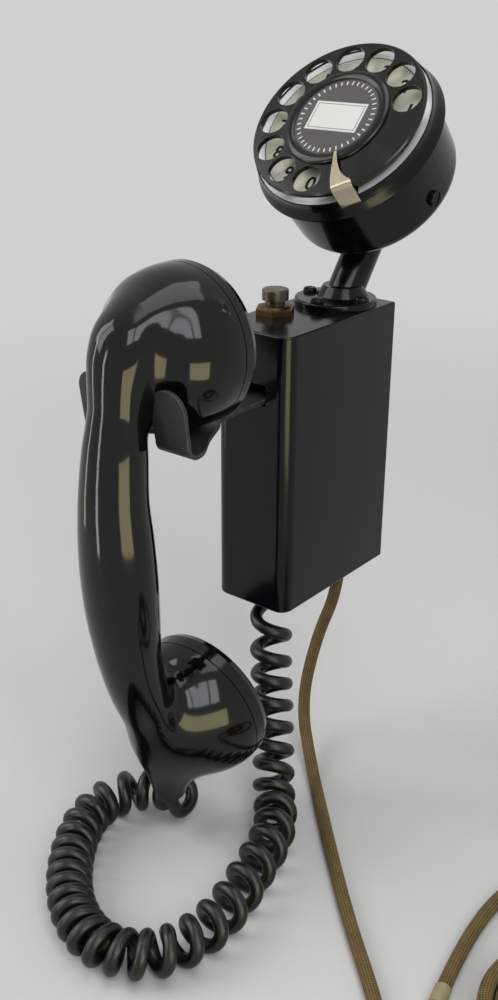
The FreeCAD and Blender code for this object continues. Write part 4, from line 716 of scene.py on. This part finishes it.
def tinted(tree, factor, below, above):
    return add(tree, "Mix", {"Factor": factor, 6: below, 7: above}, data_type="RGBA").outputs[2]


print("dial leans", round(math.degrees(DIAL_LEAN), 1), "degrees")

# %% [markdown]
# The number plate is steel under vitreous enamel, fired white outside and cream inside. A fine
# dark ring where they meet is painted shade, standing in for a narrow groove. The colours are
# drawn by the distance from the dial's axis, which a Mapping node gives when it undoes the
# dial's place and lean. The enamel is glassy.

# %% Number plate
GROOVE_RADIUS = 34.8
vitreous_enamel = finish("vitreous_enamel_cream", "#c6c4b2", "#d2d0c0", 12, (0.12, 0.22), 3.0, 0.003,
                         IOR=1.52)
tree = vitreous_enamel.node_tree
shader = tree.nodes["Principled BSDF"]
flat = add(tree, "Mapping", {"Vector": add(tree, "TexCoord").outputs["Object"], "Location": DIAL_PLACE,
                             "Rotation": (DIAL_LEAN, 0, 0)}, vector_type="TEXTURE")
place = add(tree, "SeparateXYZ", {0: flat.outputs["Vector"]})
on_plate = add(tree, "CombineXYZ", {"X": place.outputs["X"], "Y": place.outputs["Y"]})
from_axis = add(tree, "VectorMath", {0: on_plate.outputs[0]}, operation="LENGTH").outputs["Value"]
cream = shader.inputs["Base Color"].links[0].from_socket
white = tinted(tree, under(tree, from_axis, GROOVE_RADIUS), colour("#dcdedd"), cream)
# painted shade: a fine dark circle where the white band meets the cream stands in for the shade in a narrow
# groove
from_groove_line = math_of(tree, "ABSOLUTE", math_of(tree, "SUBTRACT", from_axis, GROOVE_RADIUS * MM))
groove_shade_lined = tinted(tree, under(tree, from_groove_line, 0.22, 0.1), white, colour("#3c3c3a"))
tree.links.new(groove_shade_lined, shader.inputs["Base Color"])
dress(nodes["number_plate"], vitreous_enamel)

figure_ink = finish("ink_fired_black", "#101012", "#1a1a1c", 3, (0.2, 0.3), IOR=1.5)


def figure(text, size, angle, radius, height):
    words = bpy.data.curves.new("figure_" + text, "FONT")
    words.body = text
    words.size = size
    words.align_x = "CENTER"
    words.align_y = "CENTER"
    words.extrude = 0.00001
    words.offset = 0.00022
    holder = bpy.data.objects.new("figure_" + text, words)
    mesh = bpy.data.meshes.new_from_object(holder)
    bpy.data.objects.remove(holder)
    a = math.radians(angle)
    mesh.transform(DIAL @ Matrix.Translation((radius * math.cos(a), radius * math.sin(a), height)))
    piece = link("figure_" + text, mesh)
    dress(piece, figure_ink)
    return piece


FIGURE_SIZE = 0.0088
FIGURE_CIRCLE = HOLE_CIRCLE - 0.0012
FIGURE_SHIFT = -2.5
INK_GAP = 0.00003
for i in range(10):
    digit = str((i + 1) % 10)
    angle = FIRST_HOLE + i * HOLE_STEP + FIGURE_SHIFT
    piece = figure(digit, FIGURE_SIZE, angle, FIGURE_CIRCLE, PLATE_FACE + INK_GAP)
    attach(piece, "case")
print("figures on the number plate")

# %% [markdown]
# The card in the middle is dark grey paper with white printing: a blank panel for the owner's
# number with a fine frame inside it, and a circle of short marks near the card's edge. All of
# it is drawn in the material from the place on the disc.

# %% Dial card
bpy.ops.mesh.primitive_circle_add(vertices=96, radius=CARD, fill_type="NGON")
card = bpy.context.object
card.name = "dial_card_print"
CARD_HEIGHT = 0.00038
card.matrix_world = DIAL @ Matrix.Translation((0, 0, CARD_HEIGHT))
card_print = finish("card_printed_matt", "#3b3735", "#474341", 6, (0.5, 0.65), IOR=1.45)
MARK_CIRCLE = 16.6
MARKS = 40
PANEL = (12.4, 7.0)
tree = card_print.node_tree
shader = tree.nodes["Principled BSDF"]
spot = add(tree, "TexCoord").outputs["Object"]
place = add(tree, "SeparateXYZ", {0: spot})
paper = shader.inputs["Base Color"].links[0].from_socket
across = math_of(tree, "ABSOLUTE", place.outputs["X"])
along = math_of(tree, "ABSOLUTE", place.outputs["Y"])
from_middle = add(tree, "VectorMath", {0: spot}, operation="LENGTH").outputs["Value"]
turn = math_of(tree, "ARCTAN2", place.outputs["Y"], place.outputs["X"])
beat = math_of(tree, "MULTIPLY", math_of(tree, "PINGPONG", turn, math.pi / MARKS), MARK_CIRCLE * MM)
band = math_of(tree, "ABSOLUTE", math_of(tree, "SUBTRACT", from_middle, MARK_CIRCLE * MM))
marks = math_of(tree, "MULTIPLY", under(tree, beat, 0.30), under(tree, band, 0.9))
panel = math_of(tree, "MULTIPLY", under(tree, across, PANEL[0]), under(tree, along, PANEL[1]))
printed = tinted(tree, math_of(tree, "MAXIMUM", marks, panel), paper, colour("#fbfbf8"))
inside = math_of(tree, "MAXIMUM", math_of(tree, "SUBTRACT", across, (PANEL[0] - 1.1) * MM),
                 math_of(tree, "SUBTRACT", along, (PANEL[1] - 1.1) * MM))
frame_line = under(tree, math_of(tree, "ABSOLUTE", inside), 0.14, 0.1)
printed = tinted(tree, frame_line, printed, colour("#5c5856"))
tree.links.new(printed, shader.inputs["Base Color"])
dress(card, card_print)
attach(card, "finger_wheel")
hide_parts("dial_card")
print("card printed")

# %% [markdown]
# Two pieces of the dial are softer than their solids. The card ring is spun and lacquered,
# with a half-round top: its outline goes once round the dial's axis. The finger stop is a
# strip of nickelled brass: a foot under the wheel, a leg beside it, a round bend, and an arm
# like a small horn. A table gives the strip's line and its two edges, and the mesh is made
# thick afterwards, so its thickness is the same all along.

# %% Card ring and finger stop
def smooth_faces(mesh):
    mesh.polygons.foreach_set("use_smooth", [True] * len(mesh.polygons))


def soften(piece, width_mm, degrees):
    edge = piece.modifiers.new("edges", "BEVEL")
    edge.width = width_mm * MM
    edge.segments = 3
    edge.limit_method = "ANGLE"
    edge.angle_limit = math.radians(degrees)
    edge.harden_normals = True


def spun(name, profile, sides, place):
    vertices = [place @ (Vector((r * math.cos(a), r * math.sin(a), h)) * MM)
                for a in (2 * math.pi * i / sides for i in range(sides)) for r, h in profile]
    n = len(profile)
    faces = [(i * n + j, (i + 1) % sides * n + j, (i + 1) % sides * n + (j + 1) % n, i * n + (j + 1) % n)
             for i in range(sides) for j in range(n)]
    mesh = bpy.data.meshes.new(name)
    mesh.from_pydata(vertices, [], faces)
    smooth_faces(mesh)
    return link(name, mesh)


# out from the axis, up from the wheel's underside
RING_OUTLINE = [(19.6, 0.0), (23.2, 0.0), (23.2, 0.3), (23.05, 0.75), (22.6, 1.15), (21.9, 1.42),
                (21.0, 1.54), (20.2, 1.50), (19.5, 1.36), (18.9, 1.14), (18.5, 0.95), (19.6, 0.92)]
card_ring = spun("card_ring_spun", RING_OUTLINE, 160, DIAL)
soften(card_ring, 0.08, 50)
dress(card_ring, wheel_lacquer)
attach(card_ring, "finger_wheel")
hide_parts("card_ring")

STOP_ANGLE = math.radians(-58.75)
STOP_THICK = 1.0
STOP_HALF = 4.25
ARM_HEIGHT = 2.4
# out from the axis, up from the wheel's underside
FOOT_TO_BEND = [(30.2, -9.5), (32.5, -9.5), (34.7, -9.5), (38.1, -9.5), (38.8, -9.2), (39.1, -8.5),
                (39.1, -4.0), (39.1, 1.0), (38.99, 1.54), (38.69, 1.99), (38.24, 2.29), (37.7, ARM_HEIGHT)]
# out from the axis, left edge, right edge
ARM = [(36.6, -4.25, 3.7), (35.2, -4.2, 2.4), (33.7, -4.1, 1.4), (32.0, -3.85, 0.55),
       (30.0, -3.5, -0.05), (28.0, -3.1, -0.4), (26.0, -2.65, -0.6), (24.0, -2.2, -0.6),
       (22.0, -1.75, -0.5), (21.0, -1.55, -0.45), (20.4, -1.4, -0.5), (20.1, -1.25, -0.6),
       (20.0, -1.1, -0.75)]
stop_strip = [(out, up, -STOP_HALF, STOP_HALF) for out, up in FOOT_TO_BEND]
stop_strip += [(out, ARM_HEIGHT, left, right) for out, left, right in ARM]
# shares of the width. Two square holes in the foot lie between rows 1 and 2.
COLUMNS = (0.0, 0.135, 0.394, 0.606, 0.865, 1.0)
SCREW_ROW = 1
SCREW_COLUMNS = (1, 3)
stop_place = DIAL @ Matrix.Rotation(STOP_ANGLE, 4, "Z")
vertices = [stop_place @ (Vector((out, left + (right - left) * share, up)) * MM)
            for out, up, left, right in stop_strip for share in COLUMNS]
faces = []
row = len(COLUMNS)
for i in range(len(stop_strip) - 1):
    for j in range(row - 1):
        if i == SCREW_ROW and j in SCREW_COLUMNS:
            continue
        a = i * row + j
        faces.append((a, a + 1, a + row + 1, a + row))
mesh = bpy.data.meshes.new("finger_stop_strip")
mesh.from_pydata(vertices, [], faces)
smooth_faces(mesh)
finger_stop = link("finger_stop_strip", mesh)
thick = finger_stop.modifiers.new("sheet", "SOLIDIFY")
thick.thickness = STOP_THICK * MM
thick.offset = 0
thick.use_even_offset = True
soften(finger_stop, 0.22, 60)
dress(finger_stop, nickel)
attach(finger_stop, "case")
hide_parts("finger_stop")
print("ring and stop made")

# %% [markdown]
# The line cord's fittings: a cotton tape holds the coil, thread is whipped round the end of the
# braid, and three rubber cores come out of it with a brass spade on each.

# %% Cord fittings
cotton_tape = finish("cotton_tape_woven", "#8a8062", "#a3987a", 3, (0.85, 0.95), 0.5, 0.05, IOR=1.45)
core_rubber = finish("rubber_core_red_brown", "#4a1f17", "#5e2a1f", 4, (0.45, 0.6), 0.5, 0.008, IOR=1.52)
TIE_ANGLE = math.radians(120.0)
TIE_IN, TIE_OUT = 20.55, 38.45
TIE_LOW, TIE_TOP = 0.6, 13.95
TIE_CORNER = 3.4
TAPE_HALF = 3.5
TAPE_THICK = 0.8
left, right = TIE_IN + TIE_CORNER, TIE_OUT - TIE_CORNER
low, top = TIE_LOW + TIE_CORNER, TIE_TOP - TIE_CORNER
corners = [(right, top, 0), (left, top, 90), (left, low, 180), (right, low, 270)]
loop = [(x + TIE_CORNER * math.cos(math.radians(a)), z + TIE_CORNER * math.sin(math.radians(a)))
        for x, z, first in corners for a in range(first, first + 91, 15)]
tie_place = Matrix.Translation(COIL_CENTRE + Vector((0, 0, FLOOR))) @ Matrix.Rotation(TIE_ANGLE, 4, "Z")
vertices = [tie_place @ (Vector((x, y, z)) * MM) for x, z in loop for y in (-TAPE_HALF, TAPE_HALF)]
around = len(loop)
mesh = bpy.data.meshes.new("coil_tie")
mesh.from_pydata(vertices, [], [(2 * i, 2 * i + 1, 2 * ((i + 1) % around) + 1, 2 * ((i + 1) % around))
                                for i in range(around)])
smooth_faces(mesh)
coil_tie = link("coil_tie", mesh)
thick = coil_tie.modifiers.new("tape", "SOLIDIFY")
thick.thickness = TAPE_THICK * MM
thick.offset = 0
soften(coil_tie, 0.15, 50)
dress(coil_tie, cotton_tape)

tail_end = line_path[-1]
tail_way = (line_path[-1] - line_path[-3]).normalized()
tail_place = Matrix.Translation(tail_end) @ tail_way.to_track_quat("Z", "X").to_matrix().to_4x4()
threads = [(3.05 + 0.28 * abs(math.sin(math.pi * i / 6)), -9.0 + i * 0.12) for i in range(76)]
whipping = spun("end_whipping", [(2.3, 0.3), (2.95, 0.1), (2.95, -9.0)] + threads, 40, tail_place)
for v in whipping.data.vertices:
    v.co.z = max(v.co.z, FLOOR + 0.00005)
dress(whipping, cotton_tape)

# half of a spade's outline: along the core, then out from its middle
SPADE_HALF = [(9.6, 1.2), (11.5, 1.3), (12.6, 2.2), (13.4, 2.6), (18.2, 2.6), (19.0, 2.1), (19.0, 1.5),
              (18.7, 1.2), (15.5, 1.2), (14.6, 0.8)]
spade_outline = [(x, -y) for x, y in SPADE_HALF] + [(14.3, 0.0)] + SPADE_HALF[::-1]
SPADE_LOW, SPADE_HIGH = 1.2, 2.0
CORE_LINE = [(1.0, 0, 2.9), (4.0, 0.1, 2.9), (7.0, -0.15, 2.7), (9.5, 0, 2.55), (12.0, 0, 2.45)]
CORE_RADIUS = 0.0009
FAN_PIVOT = 0.001
heading = math.atan2(tail_way.y, tail_way.x)
fittings = [whipping, coil_tie]
for i, fan in enumerate((-24.0, 0.0, 24.0)):
    place = (Matrix.Translation((tail_end.x, tail_end.y, FLOOR)) @ Matrix.Rotation(heading, 4, "Z")
             @ Matrix.Translation((FAN_PIVOT, 0, 0)) @ Matrix.Rotation(math.radians(fan), 4, "Z")
             @ Matrix.Translation((-FAN_PIVOT, 0, 0)))
    mesh = bpy.data.meshes.new("spade_" + str(i))
    n = len(spade_outline)
    vertices = [place @ (Vector((x, y, z)) * MM) for z in (SPADE_LOW, SPADE_HIGH) for x, y in spade_outline]
    mesh.from_pydata(vertices, [], [tuple(reversed(range(n))), tuple(range(n, 2 * n))]
                     + [(k, (k + 1) % n, (k + 1) % n + n, k + n) for k in range(n)])
    spade = link("spade_" + str(i), mesh)
    soften(spade, 0.15, 50)
    dress(spade, bright_brass)
    core_path = smooth_line("core", [place @ (Vector(p) * MM) for p in CORE_LINE], 8)
    core = tube("core_" + str(i), core_path, CORE_RADIUS, 14)
    dress(core, core_rubber)
    fittings += [spade, core]
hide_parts("cord_fittings")
for piece in fittings:
    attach(piece, "case")
print(len(fittings), "fittings on the line cord")

# %% [markdown]
# The line cord's braid: brown and olive cotton threads cross at about 45 degrees round the
# tube. The pattern is drawn on the tube's own map, so it follows every bend, and its
# diamonds are 1.1 mm, drawn a little coarser than the real threads so that they show.

# %% Braid
BRAID_ROUND = 8
BRAID_LONG = 2.3
cotton_braid = bpy.data.materials.new("cotton_braid_brown")
cotton_braid.use_nodes = True
tree = cotton_braid.node_tree
shader = tree.nodes["Principled BSDF"]
place = add(tree, "SeparateXYZ", {0: add(tree, "UVMap", uv_map="around_and_along").outputs["UV"]})
round_it = math_of(tree, "MULTIPLY", place.outputs["X"], 2 * math.pi * BRAID_ROUND)
on_along = math_of(tree, "MULTIPLY", place.outputs["Y"], 2 * math.pi / (BRAID_LONG * MM))
first = math_of(tree, "SINE", math_of(tree, "ADD", round_it, on_along))
second = math_of(tree, "SINE", math_of(tree, "SUBTRACT", round_it, on_along))
weave = math_of(tree, "MULTIPLY", first, second)
height = add(tree, "MapRange", {"Value": weave, "From Min": -1.0, "From Max": 1.0}).outputs[0]
fluff = add(tree, "TexNoise", {"Vector": add(tree, "TexCoord").outputs["Object"], "Scale": 1000 / 5.0,
                               "Detail": 6.0, "Roughness": 0.7})
blend = math_of(tree, "MULTIPLY", height, fluff.outputs["Fac"])
cloth = add(tree, "Mix", {"Factor": blend, 6: colour("#2b2010"), 7: colour("#a98a4a")}, data_type="RGBA")
tree.links.new(cloth.outputs[2], shader.inputs["Base Color"])
shader.inputs["Roughness"].default_value = 0.85
shader.inputs["Sheen Weight"].default_value = 0.03
bump = add(tree, "Bump", {"Height": height, "Distance": 0.15 * MM, "Strength": 0.8})
tree.links.new(bump.outputs["Normal"], shader.inputs["Normal"])
dress(line_cord, cotton_braid)
dress(curly_cord, cord_jacket)
dress(handset_shell, phenolic_black)
print("cords dressed")

# %% [markdown]
# A plain pale floor keeps the shadows. Near the telephone it is lit like everything else.
# Further off, lamplight would fade, so there the floor turns to a plain pale backdrop colour
# for the rays of the camera and of reflections, and the world behind it has the same colour.

# %% Floor
BACKDROP = colour("#d0d0cf")
bpy.ops.mesh.primitive_circle_add(vertices=128, radius=6.0, fill_type="NGON", location=(0, 0, FLOOR))
floor = bpy.context.object
floor.name = "floor"
floor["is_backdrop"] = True


def seen_rays(tree):
    rays = add(tree, "LightPath").outputs
    seen = math_of(tree, "MAXIMUM", rays["Is Camera Ray"], rays["Is Glossy Ray"])
    return math_of(tree, "MAXIMUM", seen, rays["Is Transmission Ray"])


floor_paint = finish("matt_paint_pale", "#cfcecc", "#d3d2d0", 90, (0.8, 0.9), IOR=1.45,
                     Specular_IOR_Level=0.2)
tree = floor_paint.node_tree
spot = add(tree, "TexCoord").outputs["Object"]
distance = add(tree, "VectorMath", {0: spot}, operation="LENGTH").outputs["Value"]
far = add(tree, "MapRange", {"Value": distance, "From Min": 0.25, "From Max": 0.9},
          interpolation_type="SMOOTHSTEP")
backdrop = add(tree, "Emission", {"Color": BACKDROP})
painted = add(tree, "MixShader", {0: math_of(tree, "MULTIPLY", far.outputs[0], seen_rays(tree)),
                                  1: tree.nodes["Principled BSDF"].outputs[0], 2: backdrop.outputs[0]})
tree.links.new(painted.outputs[0], tree.nodes["Material Output"].inputs["Surface"])
dress(floor, floor_paint)
print("floor at", FLOOR)

# %% [markdown]
# The light is that of a room with two windows: each is a pair of tall panes, so a black
# moulding shows them as clean bright shapes. Two narrow strips and an olive card stand close
# in front. They show in gloss alone, so they draw the long bright lines down the handle and
# the case's rounded corner, and the floor gets no light from them.

# %% Light
def pane(name, place, target, size, power, tint, on_gloss_only=False):
    lamp = bpy.data.lights.new(name, "AREA")
    lamp.shape = "RECTANGLE"
    lamp.size, lamp.size_y = size
    lamp.energy = power
    lamp.color = tint
    holder = bpy.data.objects.new(name, lamp)
    bpy.context.scene.collection.objects.link(holder)
    holder.rotation_mode = "QUATERNION"
    holder.rotation_quaternion = (Vector(target) - Vector(place)).to_track_quat("-Z", "Y")
    holder.location = place
    holder.visible_camera = False
    holder.visible_diffuse = not on_gloss_only
    return holder


def window(name, place, gap, size, power, tint):
    for side in (-1, 1):
        lamp = pane(name + ("_a" if side < 0 else "_b"), place, (0, -0.1, 0), size, power / 2, tint)
        sideways = Vector((side * (size[0] + gap) / 2, 0, 0))
        lamp.location = Vector(place) + lamp.rotation_quaternion @ sideways


window("window_left", (-1.3, -1.0, 1.1), 0.08, (0.50, 1.4), 16.5, (1.0, 0.99, 0.95))
window("window_right", (1.2, -0.9, 1.3), 0.08, (0.42, 1.2), 14.5, (0.93, 0.97, 1.0))
pane("overhead", (0.1, 0.2, 1.8), (0, 0, 0), (1.2, 1.2), 9.0, (1.0, 1.0, 1.0))
pane("strip_front", (-0.10, -0.48, 0.02), (-0.02, -0.12, 0.02), (0.035, 0.34), 0.30, (0.94, 0.98, 1.0),
     True)
pane("strip_left", (-0.36, -0.36, 0.02), (0, -0.12, 0.02), (0.04, 0.34), 0.20, (1.0, 0.92, 0.72), True)
pane("card_right", (0.34, -0.30, -0.07), (0, -0.15, -0.03), (0.24, 0.16), 0.52, (1.0, 0.95, 0.50), True)
world = bpy.data.worlds.new("soft_room")
world.use_nodes = True
tree = world.node_tree
room = tree.nodes["Background"]
room.inputs["Color"].default_value = (0.82, 0.83, 0.84, 1.0)
room.inputs["Strength"].default_value = 0.42
behind = add(tree, "Background", {"Color": BACKDROP})
both = add(tree, "MixShader", {0: seen_rays(tree), 1: room.outputs[0], 2: behind.outputs[0]})
tree.links.new(both.outputs[0], tree.nodes["World Output"].inputs["Surface"])
bpy.context.scene.world = world
bpy.context.scene.view_settings.view_transform = "Standard"
print("light ready")

# %% Print the sizes and finish
low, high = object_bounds()
print("visual box", [round(v, 4) for v in low], [round(v, 4) for v in high])
